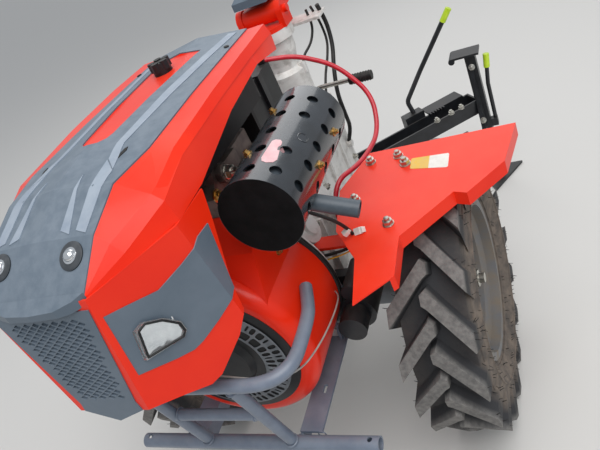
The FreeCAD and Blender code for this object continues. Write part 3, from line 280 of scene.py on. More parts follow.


# Bonnet fittings
# Two chrome domed latch bolts in dark cups at the front corners of the panel, small screws at its rear
# corners, two moulded-in slots drawn as flat black plates of painted shade, and the pressed ridges that
# stiffen the panel, 1 mm high, coloured paler than the panel as a painted highlight.

chrome, shader = new_finish("bright_chrome", "steel", Metallic=1.0)
connect(chrome, shader, {"Base Color": blend(chrome, patches(chrome, 12), "#D9DBDC", "#EDEEEE"),
                         "Roughness": 0.08})
surface(chrome, shader, 6, 0.01)

matt_black, shader = new_finish("matt_black_coat", "black_plastic", IOR=1.46)
tone = blend(matt_black, patches(matt_black, 18), "#0E0F10", "#17181A")
settle(matt_black, shader, tone, "#4B4843", 0.3, 12, 0.55, 0.8)
surface(matt_black, shader, 4, 0.04)

dark_plastic, shader = new_finish("dark_grey_plastic", "grey_plastic", IOR=1.46)
tone = blend(dark_plastic, patches(dark_plastic, 18), "#282C30", "#32373C")
settle(dark_plastic, shader, tone, "#77797B", 0.35, 12, 0.4, 0.7)
surface(dark_plastic, shader, 4, 0.04)

latches = [touch("bonnet_panel", at(504, y, 1000), (0, 0, -1)) for y in (60, -60)]
cup = disc(17.5, 1.6, sides=40, lip_mm=2.4)
fit(copies(cup, latches, keep=False), "latch_cups", "chassis", dark_plastic)
washer = disc(10.0, 1.8, 1.8, 32, 1.2)
deselect()
bpy.ops.mesh.primitive_uv_sphere_add(segments=28, ring_count=14, radius=0.0078, location=(0, 0, 0.0035))
dome = bpy.context.object
bpy.ops.transform.resize(value=(1.0, 1.0, 0.8))
bpy.ops.object.transform_apply(location=True, rotation=True, scale=True)
fit(copies(join([washer, dome]), latches, keep=False), "latch_bolts", "chassis", chrome)

screws = [touch("bonnet_panel", at(33, y, 1000), (0, 0, -1), 0.7) for y in (94, -94)]
button = disc(6.5, 2.4, lip_mm=1.4)
fit(copies(button, screws, keep=False), "panel_screws", "chassis", matt_black)


def lie_on(node, outline, proud_mm, wall_mm):
    """A thin plate of the given plan, dropped on a CAD node: plan points are x, y about the axle."""
    deselect()
    bpy.ops.mesh.primitive_plane_add(size=1.0)
    plate = bpy.context.object
    corners = [at(x, y, 1000) for x, y in outline]
    plate.data.clear_geometry()
    plate.data.from_pydata(corners, [], [tuple(range(len(corners)))])
    bpy.ops.object.mode_set(mode="EDIT")
    bpy.ops.mesh.select_all(action="SELECT")
    bpy.ops.mesh.quads_convert_to_tris(quad_method="BEAUTY", ngon_method="BEAUTY")
    bpy.ops.mesh.subdivide(number_cuts=5)
    bpy.ops.object.mode_set(mode="OBJECT")
    wrap = plate.modifiers.new("drop", "SHRINKWRAP")
    wrap.wrap_method = "PROJECT"
    wrap.use_project_z = True
    wrap.use_negative_direction = True
    wrap.target = nodes[node]
    wrap.offset = proud_mm / 1000
    bpy.ops.object.modifier_apply(modifier=wrap.name)
    wall = plate.modifiers.new("wall", "SOLIDIFY")
    wall.thickness = wall_mm / 1000
    wall.offset = 0.0
    bpy.ops.object.modifier_apply(modifier=wall.name)
    bpy.ops.object.mode_set(mode="EDIT")
    bpy.ops.mesh.select_all(action="SELECT")
    bpy.ops.mesh.normals_make_consistent(inside=False)
    bpy.ops.object.mode_set(mode="OBJECT")
    return plate


def both_sides(outline):
    """A plan on the machine's left, and the same on its right."""
    return [outline, [(x, -y) for x, y in reversed(outline)]]


LONG_RIDGE = [(-36, 70), (170, 55), (330, 50), (366, 57), (389, 76), (360, 70), (330, 62), (170, 72),
              (-36, 86)]
FRONT_RIDGE = [(368, 56), (392, 77), (483, 78), (478, 61)]
INNER_RIDGE = [(392, 33), (476, 36), (482, 52)]
ridge_plans = []
for plan in (LONG_RIDGE, FRONT_RIDGE, INNER_RIDGE):
    ridge_plans += both_sides(plan)
ridges = join([lie_on("bonnet_panel", plan, 0.3, 1.4) for plan in ridge_plans])
ridge_highlight_plastic, shader = new_finish("grey_plastic_painted_highlight", "grey_plastic", IOR=1.46)
# the ridges are paler than the panel: a painted highlight of their facets facing the sky, and paler still
# with dust where they face up
tone = blend(ridge_highlight_plastic, patches(ridge_highlight_plastic, 50), "#8591A0", "#94A0AD")
settle(ridge_highlight_plastic, shader, tone, "#A9B0B8", 0.5, 22, 0.45, 0.7)
surface(ridge_highlight_plastic, shader, 4, 0.04)
fit(ridges, "panel_ridges", "chassis", ridge_highlight_plastic)

# the two slots' hollows are flat matt black plates: painted shade
slot_shade_plans = both_sides([(342, 74), (346, 71), (372, 66), (374, 69), (350, 76)])
slots = join([lie_on("bonnet_panel", plan, 0.2, 1.2) for plan in slot_shade_plans])
fit(slots, "panel_slot_painted_shade", "chassis", matt_black)


# Bonnet shoulders
# The pressed crease along both edges of the bonnet's top, which stands level with the panel and then
# drops to the side. Each row: place along X, then the panel's edge, the crest and the shoulder.

SHOULDER_ROWS = [(-50, (100, 897), (134, 897), (139.5, 878)), (60, (103, 899), (140, 899), (144, 883)),
                 (200, (105, 900), (141, 898), (145.5, 882)), (346, (108, 898), (141, 891), (147.5, 878)),
                 (414, (94, 895.0), (134, 871.5), (145.5, 859.5))]


def skin(rows):
    """A closed piece lofted through like rows of places."""
    deselect()
    bpy.ops.mesh.primitive_plane_add(size=1.0)
    piece = bpy.context.object
    count = len(rows[0])
    faces = [tuple(range(count))[::-1], tuple(range(len(rows) * count - count, len(rows) * count))]
    for row in range(len(rows) - 1):
        for k in range(count):
            here, there = row * count + k, row * count + (k + 1) % count
            faces.append((here, there, there + count, here + count))
    piece.data.clear_geometry()
    piece.data.from_pydata([place for row in rows for place in row], [], faces)
    bpy.ops.object.mode_set(mode="EDIT")
    bpy.ops.mesh.select_all(action="SELECT")
    bpy.ops.mesh.normals_make_consistent(inside=False)
    bpy.ops.object.mode_set(mode="OBJECT")
    return piece


shoulders = []
for s in (1, -1):
    rows = []
    for x, edge, crest, foot in SHOULDER_ROWS:
        inner_top, inner_base = (edge[0] + 1, edge[1] + 0.2), (edge[0] + 1, edge[1] - 6)
        outer_base = (crest[0] - 12, foot[1] - 2)
        rows.append([at(x, s * y, z) for y, z in (inner_top, crest, foot, outer_base, inner_base)])
    shoulders.append(skin(rows))
fit(join(shoulders), "bonnet_shoulders", "chassis", red_enamel, smooth_deg=20)


# Bonnet panel, side panels and grille
# Injection-moulded blue-grey plastic with a fine spark-eroded grain: satin. What faces up is paler, partly
# with dust and partly as a painted sheen of the sky on the flat top.

grey_plastic, shader = new_finish("moulded_grey_plastic", "grey_plastic", IOR=1.46, Specular_IOR_Level=0.4)
tone = blend(grey_plastic, patches(grey_plastic, 90), "#5B6874", "#65717D")
# paler on what faces up: dust, and a painted sheen on the flat top
settle(grey_plastic, shader, tone, "#8E97A0", 0.45, 18, 0.4, 0.62)
surface(grey_plastic, shader, 4, 0.04)
dress(grey_plastic, "bonnet_panel", "side_panel_left", "side_panel_right", "grille", "control_console")


def tube(points, radius_mm, closed=False, round_steps=2):
    """A round tube along a smooth line through a route's points."""
    line = bpy.data.curves.new("route", "CURVE")
    line.dimensions = "3D"
    run = line.splines.new("NURBS")
    run.points.add(len(points) - 1)
    for knot, place in zip(run.points, points):
        knot.co = (*place, 1.0)
    run.order_u = 3
    run.use_endpoint_u = not closed
    run.use_cyclic_u = closed
    line.bevel_depth = radius_mm / 1000
    line.bevel_resolution = round_steps
    line.resolution_u = 6 * round_steps // 2
    line.use_fill_caps = True
    piece = bpy.data.objects.new("route", line)
    bpy.context.scene.collection.objects.link(piece)
    deselect()
    piece.select_set(True)
    bpy.context.view_layer.objects.active = piece
    bpy.ops.object.convert(target="MESH")
    return bpy.context.object


# Headlamps
# A clear polycarbonate lens over a fluted, aluminised reflector, held in a dark rim.

lens_clear, shader = new_finish("clear_polycarbonate", "lamp_lens", IOR=1.585, Roughness=0.03,
                                Transmission_Weight=0.85, Base_Color=linear("#EEF3F6"))
surface(lens_clear, shader, 30, 0.02)
dress(lens_clear, "headlamp_left", "headlamp_right")

reflector, shader = new_finish("aluminised_reflector", "steel", Metallic=1.0)
connect(reflector, shader, {"Base Color": blend(reflector, patches(reflector, 20), "#D5D8DA", "#F0F1F2"),
                            "Roughness": 0.16})
surface(reflector, shader, 9, 0.03)

BOWL_SHARE = 0.84     # the reflector's size inside the lens
LAMP_RIM = [(523, 752), (514, 755), (497, 742), (483.5, 721), (482.5, 707), (487, 701.5), (529, 713)]
FLUTE_X = (486, 489.5, 493, 496.5, 500, 503.5)
FLUTE_DEPTH = 4.5     # how far the flutes lie behind the lens
for side, s in (("left", 1), ("right", -1)):
    lamp = "headlamp_" + side
    low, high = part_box(lamp)
    bowl = nodes[lamp].copy()
    bowl.data = nodes[lamp].data.copy()
    bpy.context.scene.collection.objects.link(bowl)
    deselect()
    bowl.select_set(True)
    bpy.context.view_layer.objects.active = bowl
    bpy.ops.object.mode_set(mode="EDIT")
    bpy.ops.mesh.select_all(action="SELECT")
    bpy.ops.mesh.remove_doubles(threshold=1e-5)
    bpy.ops.object.mode_set(mode="OBJECT")
    centre = (low + high) / 2
    about = Matrix.Translation(centre)
    bowl.data.transform(about @ Matrix.Scale(BOWL_SHARE, 4) @ about.inverted())
    outward = touch(lamp, at(500, s * 400, 728), (0, -s, 0))[1]
    flutes = []
    for x in FLUTE_X:
        place = touch(lamp, at(x, s * 400, 722), (0, -s, 0))[0]
        flutes.append((place - outward * FLUTE_DEPTH / 1000, (0, 0, 1), 1.0))
    flute = disc(1.3, 24.0, -12.0, 8)
    fit(join([bowl, copies(flute, flutes, keep=False)]), "lamp_reflector_" + side, "chassis", reflector)
    # each corner comes twice, so that the rim turns sharply there
    rim_corners = [touch(lamp, at(x, s * 400, z), (0, -s, 0))[0] for x, z in LAMP_RIM]
    rim_line = [rim_corners[k // 2] for k in range(2 * len(rim_corners))]
    fit(tube(rim_line, 1.6, closed=True), "lamp_rim_" + side, "chassis", matt_black)


# Front guard and engine rails
# Welded round tube and folded channel in blue-grey enamel, with dust on what faces up.

tube_enamel, shader = new_finish("blue_grey_enamel", "blue_grey_paint", IOR=1.5, Coat_Weight=0.15,
                                 Coat_Roughness=0.2)
tone = blend(tube_enamel, patches(tube_enamel, 45), "#687282", "#76808F")
settle(tube_enamel, shader, tone, "#8C8E92", 0.35, 18, 0.36, 0.65)
surface(tube_enamel, shader, 6, 0.03)
dress(tube_enamel, "guard_cross_tube", "guard_strut_left", "guard_strut_right", "guard_mid_tube",
      "guard_hoop", "engine_rail_left", "engine_rail_right")

# the hoop round the fan shroud, bent from one tube, its ends turned in and welded to the shroud's sides
HOOP_R, HOOP_Z = 11.0, 555
HOOP_PLAN = [(258, 159), (288, 171), (328, 184), (453, 186), (453, 34)]
hoop_line = [at(x, y, HOOP_Z) for x, y in HOOP_PLAN + [(x, -y) for x, y in reversed(HOOP_PLAN)]]
hoop = fit(tube(hoop_line, HOOP_R, round_steps=6), "front_hoop", "chassis", tube_enamel)
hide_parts("guard_hoop")

# weld beads round the foot and head of both struts, the mid tube and the cross tube
TUBE_R, STRUT_LEAN = 10.5, 0.22
beads = []
for s in (1, -1):
    for x, z in ((406, 347), (448, 541)):
        beads.append((at(x, s * 86, z), (STRUT_LEAN, 0, 1), 1.0))
    beads.append((at(427.5, s * 74, 452), (0, 1, 0), 0.95))
    beads.append((at(388, s * 96, 331), (1, 0, 0), 0.6))
    beads.append((at(388, s * 136, 338), (1, 0, 0), 0.6))
deselect()
bpy.ops.mesh.primitive_torus_add(major_segments=36, minor_segments=8, major_radius=(TUBE_R + 0.6) / 1000,
                                 minor_radius=0.0018)
bead = bpy.context.object
ripple = bead.modifiers.new("ripple", "DISPLACE")
ripple.texture = bpy.data.textures.new("weld_ripple", "CLOUDS")
ripple.texture.noise_scale = 0.004
ripple.strength = 0.0012
bpy.ops.object.modifier_apply(modifier=ripple.name)
fit(copies(bead, beads, keep=False), "guard_weld_beads", "chassis", tube_enamel)

rail_bolts = []
for side, s in (("left", 1), ("right", -1)):
    rail = "engine_rail_" + side
    for x in (104, 160):
        rail_bolts.append(touch(rail, at(x, s * 300, 372), (0, -s, 0), 0.9))
    rail_bolts.append(touch(rail, at(60, s * 118, 420), (0, 0, -1), 0.9))
fit(copies(nut, rail_bolts), "engine_rail_bolts", "chassis", zinc)


# Muffler and its guard
# A rolled steel sleeve in gloss black heat paint, punched with rows of holes, round the silencer.

heat_paint, shader = new_finish("gloss_heat_paint", "gloss_black", IOR=1.5, Coat_Weight=0.6,
                                Coat_Roughness=0.08)
tone = blend(heat_paint, patches(heat_paint, 50), "#15181B", "#20242A")
settle(heat_paint, shader, tone, "#5D6266", 0.3, 20, 0.22, 0.5)
surface(heat_paint, shader, 14, 0.03)
dress(heat_paint, "muffler_guard")

MUFFLER_Y, MUFFLER_Z = 195, 754
CAP_RADIUS, CAP_DEPTH = 61.0, 4.6

# the sleeve's front cap, burnt to a dead black
soot_black, shader = new_finish("burnt_matt_black", "gloss_black", IOR=1.45, Specular_IOR_Level=0.15)
tone = blend(soot_black, patches(soot_black, 24), "#0A0909", "#131112")
connect(soot_black, shader, {"Base Color": tone, "Roughness": 0.85})
surface(soot_black, shader, 4, 0.03)
front = [touch("muffler_guard", at(500, MUFFLER_Y, MUFFLER_Z), (-1, 0, 0))]
cap = copies(disc(CAP_RADIUS, CAP_DEPTH, sides=72, lip_mm=1.2), front, keep=False)
fit(cap, "guard_front_cap", "chassis", soot_black)

guard_screws = []
for angle, x in ((111, 251), (111, 129), (-1, 129), (-1, 222)):
    dy, dz = math.cos(math.radians(angle)), math.sin(math.radians(angle))
    start = at(x, MUFFLER_Y + 150 * dy, MUFFLER_Z + 150 * dz)
    guard_screws.append(touch("muffler_guard", start, (0, -dy, -dz), 0.8))
guard_screws.append(touch("fan_shroud", at(234, 300, 618), (0, -1, 0), 0.8))
fit(copies(screw, guard_screws), "guard_screws", "chassis", brass_zinc)

# bare places where the real one has a sticker: a pale plate, and the small dent above it
pale_plate, shader = new_finish("pale_printed_film", "red_cable", IOR=1.5)
connect(pale_plate, shader, {"Base Color": blend(pale_plate, patches(pale_plate, 20), "#D9A9AC", "#E3BDBE"),
                             "Roughness": 0.35})
surface(pale_plate, shader, 12, 0.02)
GUARD_PLATE = [(229, 212), (233, 208), (276, 206), (284, 209), (287, 216), (284, 224), (276, 227),
               (233, 222), (229, 219)]
fit(lie_on("muffler_guard", GUARD_PLATE, 0.3, 0.5), "guard_blank_plate", "chassis", pale_plate)
DENT_EDGE = [(196, 240), (198, 235), (212, 235), (214, 240), (212, 245), (198, 245)]
dent = [touch("muffler_guard", at(x, y, 1000), (0, 0, -1))[0] for x, y in DENT_EDGE]
fit(tube(dent, 1.1, closed=True), "guard_dent_edge", "chassis", heat_paint)

# the tail pipe and the silencer are in grey-black primer
primer, shader = new_finish("grey_black_primer", "gloss_black", IOR=1.5)
tone = blend(primer, patches(primer, 20), "#3B434B", "#4B545C")
settle(primer, shader, tone, "#5D6266", 0.3, 16, 0.4, 0.6)
surface(primer, shader, 5, 0.05)
dress(primer, "muffler")


# Crankcase, cylinder, gearbox and turret
# Sand-cast aluminium, left as cast: rough, with soil in patches; its near-white tone is partly the metal's
# pale grey and partly a painted highlight. The cylinder, its head and the tank's bracket are dressed dark
# brown.

cast_alloy, shader = new_finish("cast_aluminium", "cast_alloy", Metallic=0.3)
# the near-white base is partly the aluminium's pale grey and partly painted highlight
tone = blend(cast_alloy, patches(cast_alloy, 55), "#DAD8D4", "#ECEAE6")
soiled = patches(cast_alloy, 30, -0.5, 0.38, 6.0)
settle(cast_alloy, shader, blend(cast_alloy, soiled, tone, "#8F857A"), "#A79A8B", 0.35, 16, 0.46, 0.75)
surface(cast_alloy, shader, 5, 0.12, 4.0)
dress(cast_alloy, "gearbox_case", "crankcase")

brown_steel, shader = new_finish("dark_brown_steel", "steel", Metallic=0.4)
tone = blend(brown_steel, patches(brown_steel, 26), "#4A403D", "#6E625C")
settle(brown_steel, shader, tone, "#8F857A", 0.3, 12, 0.4, 0.65)
surface(brown_steel, shader, 5, 0.06)
# the cylinder and its head take the bracket's dark brown
dress(brown_steel, "tank_bracket", "cylinder_and_head")

# gearbox joints: studs along the case's edge on both sides, the oil plug on top, head and flange nuts
CASE_STUDS = [(-70, 290), (-70, 570), (-150, 560), (-250, 545), (-365, 565), (-375, 420), (-285, 330),
              (-170, 280)]
FLANGE_CENTRE_Z, FLANGE_STUD_RADIUS, FLANGE_STUDS = 490, 112, 8
case_nuts = []
for s in (1, -1):
    for x, z in CASE_STUDS:
        case_nuts.append(touch("gearbox_case", at(x, s * 200, z), (0, -s, 0), 0.95))
    for x in (60, 120):
        case_nuts.append(touch("cylinder_and_head", at(x, s * 42, 900), (0, 0, -1), 0.9))
    case_nuts.append(touch("crankcase", at(55, s * 300, 531), (0, -s, 0), 1.1))
    case_nuts.append(touch("crankcase", at(150, s * 300, 480), (0, -s, 0), 1.0))
for k in range(FLANGE_STUDS):
    turn = math.radians((k + 0.5) * 360 / FLANGE_STUDS)
    y, z = FLANGE_STUD_RADIUS * math.cos(turn), FLANGE_CENTRE_Z + FLANGE_STUD_RADIUS * math.sin(turn)
    place = at(-200, y, z)
    case_nuts.append(touch("gearbox_case", place, (1, 0, 0), 0.95))
case_nuts.append(touch("tank_bracket", at(206, 300, 766), (0, -1, 0), 1.5))
fit(copies(nut, case_nuts), "case_nuts", "chassis", zinc)
bracket_nut = [touch("tank_bracket", at(242, 300, 748), (0, -1, 0), 1.3)]
fit(copies(screw, bracket_nut), "bracket_nut", "chassis", brass_zinc)
plug = join([disc(13, 4, lip_mm=1.2), disc(9, 9, 4, sides=6, lip_mm=1.2)])
plug_place = [touch("gearbox_case", at(-190, 20, 900), (0, 0, -1))]
fit(copies(plug, plug_place, keep=False), "oil_plug", "chassis", zinc)

# cast covers of the pump and governor on the engine's left side
cover = join([disc(30, 34, sides=40, lip_mm=5), disc(17, 9, 35, 32, 3)])
cover_places = [touch("crankcase", at(x, 300, z), (0, -1, 0), size) for x, z, size in
                ((118, 556, 1.0), (150, 590, 0.55), (70, 580, 0.6), (140, 500, 0.5))]
fit(copies(cover, cover_places, keep=False), "side_covers", "chassis", cast_alloy)

# black rubber edging round the back of the fan shroud, over a light flange
SHROUD_R, CRANK_Z = 165, 490
edge_line = [(0, 716), (60, 716), (96, 714), (126, 684), (128, 650), (128, 600)]
edge_line += [(SHROUD_R * math.cos(math.radians(a)), CRANK_Z + SHROUD_R * math.sin(math.radians(a)))
              for a in (34, 22, 10, 0, -12, -24, -36, -45)]
SEAL_X, SEAL_RADIUS = (172.5, 167.0), 3.4
seal = [tube([at(x, s * y * 1.01, z) for y, z in edge_line], SEAL_RADIUS) for s in (1, -1) for x in SEAL_X]
fit(join(seal), "shroud_rubber_edging", "chassis", black_rubber)
flange = [tube([at(160, s * y * 0.99, z) for y, z in edge_line[4:12]], 3.0) for s in (1, -1)]
fit(join(flange), "fan_back_flange", "chassis", cast_alloy)


# Axle housings and wheels
# Cast iron and pressed steel in grey enamel, brown with dried mud in patches.

grey_iron, shader = new_finish("grey_painted_iron", "cast_iron_grey", IOR=1.5)
tone = blend(grey_iron, patches(grey_iron, 40), "#6F7478", "#7D8286")
settle(grey_iron, shader, tone, "#8F8373", 0.7, 14, 0.5, 0.8)
surface(grey_iron, shader, 5, 0.15, 4.0)
dress(grey_iron, "axle_housing_left", "axle_housing_right")

wheel_enamel, shader = new_finish("dusty_wheel_enamel", "wheel_paint", IOR=1.5)
mud = patches(wheel_enamel, 34, 0.25, 0.95, 6.0)
rough = add_node(wheel_enamel, "ShaderNodeMapRange", {"Value": mud, 3: 0.42, 4: 0.85}).outputs[0]
connect(wheel_enamel, shader, {"Base Color": blend(wheel_enamel, mud, "#6C7178", "#83786A"),
                               "Roughness": rough})
surface(wheel_enamel, shader, 7, 0.1, 4.0)
dress(wheel_enamel, "rim_left", "rim_right")


# Tyres
# Farm tyres of black rubber. The lugs' tops are worn pale with dust, the channels between stay dark,
# and the sidewalls are brown with dried mud.

# radii in metres: where the lugs' pale tops and the muddy sidewall begin, and where each is full
TOP_FROM, TOP_FULL, WALL_FROM, WALL_FULL = 0.276, 0.291, 0.262, 0.236
tyre_rubber = {}
for side in ("left", "right"):
    low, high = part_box("tyre_" + side)
    middle = (low + high) / 2
    rubber, shader = new_finish("dusty_tyre_rubber_" + side, "tyre_rubber", IOR=1.5, Specular_IOR_Level=0.3)
    place = add_node(rubber, "ShaderNodeTexCoord", {}).outputs["Object"]
    flat = add_node(rubber, "ShaderNodeMapping", {"Vector": place, "Location": (-middle.x, 0.0, -middle.z),
                                                  "Scale": (1.0, 0.0, 1.0)}).outputs[0]
    radius = add_node(rubber, "ShaderNodeVectorMath", {0: flat}, operation="LENGTH").outputs["Value"]
    lug_top = add_node(rubber, "ShaderNodeMapRange", {"Value": radius, 1: TOP_FROM, 2: TOP_FULL}).outputs[0]
    wall = add_node(rubber, "ShaderNodeMapRange", {"Value": radius, 1: WALL_FROM, 2: WALL_FULL}).outputs[0]
    tread = blend(rubber, times(rubber, lug_top, patches(rubber, 9, 0.55, 1.0, 6.0)), "#38383A", "#827F7B")
    worn = blend(rubber, times(rubber, wall, patches(rubber, 24, 0.35, 1.0, 6.0)), tread, "#7A6E63")
    connect(rubber, shader, {"Base Color": worn, "Roughness": 0.78})
    surface(rubber, shader, 5, 0.25, 5.0)
    dress(rubber, "tyre_" + side)
    tyre_rubber[side] = rubber

# moulded rings on the sidewalls, each with its radius and its reach from the tyre's middle, the short
# rubber hairs that the mould's vents leave, and the wheel's studs, centre nut and valve
random.seed(12)
SIDEWALL_RINGS = [(208, 69.2), (176, 53.5), (238, 62.0)]
RING_BEAD = 2.2
HAIR_COUNT = 340
HAIR_RADII = (0.181, 0.196, 0.217, 0.232, 0.247, 0.252, 0.283)
HAIR_ROOT, HAIR_TIP, HAIR_LENGTH = 0.0008, 0.0004, 0.009
TREAD_HALF = 0.045    # no hairs nearer than this to the tyre's middle plane
CLEAR = 0.2           # from the middle plane to a place clear of the wheel
STUD_COUNT, STUD_RADIUS = 5, 0.058
VALVE_REACH, VALVE_RADIUS = 0.047, 0.090
hair_rubber, shader = new_finish("moulded_vent_hairs", "tyre_rubber", IOR=1.5)
tone = blend(hair_rubber, patches(hair_rubber, 30), "#0F0F0F", "#2A2724")
connect(hair_rubber, shader, {"Base Color": tone, "Roughness": 0.6})
for side, s in (("left", 1), ("right", -1)):
    low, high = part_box("tyre_" + side)
    middle = (low + high) / 2
    rings = []
    for radius, reach in SIDEWALL_RINGS:
        for face in (1, -1):
            deselect()
            place = middle + Vector((0, face * reach / 1000, 0))
            bpy.ops.mesh.primitive_torus_add(major_segments=96, minor_segments=8, location=place,
                                             rotation=(math.pi / 2, 0, 0), major_radius=radius / 1000,
                                             minor_radius=RING_BEAD / 1000)
            rings.append(bpy.context.object)
    fit(join(rings), "sidewall_rings_" + side, "wheel_" + side, tyre_rubber[side])
    places = []
    while len(places) < HAIR_COUNT:
        turn = random.uniform(0, 2 * math.pi)
        radius = random.choice(HAIR_RADII)
        face = random.choice((1, 1, -1))
        start = middle + Vector((radius * math.cos(turn), face * CLEAR, radius * math.sin(turn)))
        hit, place, normal = nodes["tyre_" + side].ray_cast(start, Vector((0, -face, 0)))[:3]
        if hit and abs(place.y - middle.y) > TREAD_HALF:
            lean = Vector((random.uniform(-0.5, 0.5), 0, random.uniform(-0.5, 0.5)))
            places.append((place, normal + lean, random.uniform(0.7, 1.15)))
    deselect()
    bpy.ops.mesh.primitive_cone_add(vertices=5, radius1=HAIR_ROOT, radius2=HAIR_TIP, depth=HAIR_LENGTH,
                                    location=(0, 0, 0.004))
    hair = bpy.context.object
    bpy.ops.object.transform_apply(location=True, rotation=True, scale=True)
    fit(copies(hair, places, keep=False), "vent_hairs_" + side, "wheel_" + side, hair_rubber)
    wheel_nuts = []
    for k in range(STUD_COUNT):
        turn = math.radians((k + 0.5) * 360 / STUD_COUNT)
        start = middle + Vector((STUD_RADIUS * math.cos(turn), s * CLEAR, STUD_RADIUS * math.sin(turn)))
        wheel_nuts.append(touch("rim_" + side, start, (0, -s, 0), 1.25))
    wheel_nuts.append(touch("hub_" + side, middle + Vector((0, s * CLEAR, 0)), (0, -s, 0), 2.6))
    fit(copies(nut, wheel_nuts), "wheel_nuts_" + side, "wheel_" + side, zinc)
    valve = join([disc(4.0, 22, 0, 12, 0.6), disc(5.0, 9, 20, 12, 1.0)])
    start = middle + Vector((0.0, s * VALVE_REACH, VALVE_RADIUS))
    fit(copies(valve, [touch("rim_" + side, start, (0, 0, 1))], keep=False), "tyre_valve_" + side,
        "wheel_" + side, black_rubber)


# Fender fittings
# Bolts along the brackets, and a blank plate, half yellow and half white, where the real one carries a
# sticker.

FENDER_BOLTS = [(182, 304, 1.15), (2, 298, 1.1), (29, 314, 1.2), (5, 246, 1.15), (108, 234, 1.1)]
fender_bolts = []
for side, s in (("left", 1), ("right", -1)):
    for x, y, size in FENDER_BOLTS:
        fender_bolts.append(touch("fender_" + side, at(x, s * y, 900), (0, 0, -1), size))
fit(copies(nut, fender_bolts), "fender_bolts", "chassis", zinc)

HALF_FROM, HALF_TO = 0.3565, 0.3575      # where yellow turns to white across the plate, in metres
two_tone, shader = new_finish("two_tone_film", "grey_plastic", IOR=1.5, Roughness=0.4)
place = add_node(two_tone, "ShaderNodeTexCoord", {}).outputs["Object"]
y = add_node(two_tone, "ShaderNodeSeparateXYZ", {0: place}).outputs[1]
half = add_node(two_tone, "ShaderNodeMapRange", {"Value": y, 1: HALF_FROM, 2: HALF_TO})
tone = blend(two_tone, half.outputs[0], "#E3B42A", "#E9E4DA")
connect(two_tone, shader, {"Base Color": blend(two_tone, patches(two_tone, 15, 0.0, 0.3), tone, "#B9AFA0")})
surface(two_tone, shader, 12, 0.02)
FENDER_PLATE = [(17, 326), (19, 324), (45, 324), (47, 326), (61, 388), (59, 391), (25, 391), (22, 389)]
fit(lie_on("fender_left", FENDER_PLATE, 0.3, 0.5), "fender_blank_plate", "chassis", two_tone)


# Tool carrier, handlebars and levers
# Welded steel in black powder coat: satin, with a fine even grain.

powder_black, shader = new_finish("black_powder_coat", "black_paint", IOR=1.5)
tone = blend(powder_black, patches(powder_black, 30), "#17181B", "#222428")
settle(powder_black, shader, tone, "#57524C", 0.4, 16, 0.38, 0.7)
surface(powder_black, shader, 3, 0.05)
dress(powder_black, "battery_tray", "rear_hitch", "starter_motor", "carrier_beam", "carrier_lever",
      "carrier_post", "post_lever", "handlebar_left", "handlebar_right", "clutch_lever_left",
      "clutch_lever_right")

lime_sleeve, shader = new_finish("lime_vinyl_sleeve", "black_paint", IOR=1.53)
tone = blend(lime_sleeve, patches(lime_sleeve, 12), "#B9D81C", "#C9E63A")
settle(lime_sleeve, shader, tone, "#B5B08A", 0.3, 8, 0.35, 0.6)
surface(lime_sleeve, shader, 5, 0.04)
sleeve = disc(9.0, 40, -38, 20, 4.0)
tips = [(at(-790, 318, 584), Vector((-11, 124, 155)), 1.0), (at(-810, 384, 417), Vector((-8, 12, 88)), 1.0)]
fit(copies(sleeve, tips, keep=False), "lever_sleeves", "chassis", lime_sleeve)

carrier_nuts = []
for x, y in ((-718, 262), (-738, 290), (-690, 222)):
    carrier_nuts.append(touch("carrier_beam", at(x, y, 500), (0, 0, -1), 1.1))
for z in (90, 150, 240, 400):
    carrier_nuts.append(touch("carrier_post", at(-600, 341, z), (-1, 0, 0), 1.1))
for s in (1, -1):
    carrier_nuts.append(touch("rear_hitch", at(-400, s * 100, 320), (0, -s, 0), 1.5))
    carrier_nuts.append(touch("rear_hitch", at(-455, s * 100, 290), (0, -s, 0), 1.3))
fit(copies(nut, carrier_nuts), "carrier_nuts", "chassis", zinc)


# Black plastic covers
# The recoil cover, fuel cap, air filter and battery are moulded in black plastic. The fuel tank has the
# duller coat.

black_plastic, shader = new_finish("moulded_black_plastic", "black_plastic", IOR=1.46)
tone = blend(black_plastic, patches(black_plastic, 25), "#131416", "#1E2022")
settle(black_plastic, shader, tone, "#6A645C", 0.35, 14, 0.42, 0.75)
surface(black_plastic, shader, 4, 0.04)
dress(black_plastic, "recoil_cover", "air_filter", "fuel_cap", "battery")
dress(matt_black, "fuel_tank")


# Fan grille
# A pressed steel plate in grey, punched with two rows of long slots, on the recoil cover over a matt black
# plate that is painted shade for the dark seen through the slots. Each row of the table is a ring of the
# plate: its radius, and its rise above the cover's edge.

GRILLE_SLOTS = 54
GRILLE_RINGS = [(119.5, 0.9), (116.0, 1.4), (101.5, 3.4), (98.0, 3.7), (82.0, 4.8), (77.0, 5.1)]
grille_grey, shader = new_finish("grey_pressed_steel", "steel", Metallic=0.3)
tone = blend(grille_grey, patches(grille_grey, 20), "#6B7075", "#7F8489")
settle(grille_grey, shader, tone, "#8C8A86", 0.3, 12, 0.4, 0.65)
surface(grille_grey, shader, 3, 0.04)


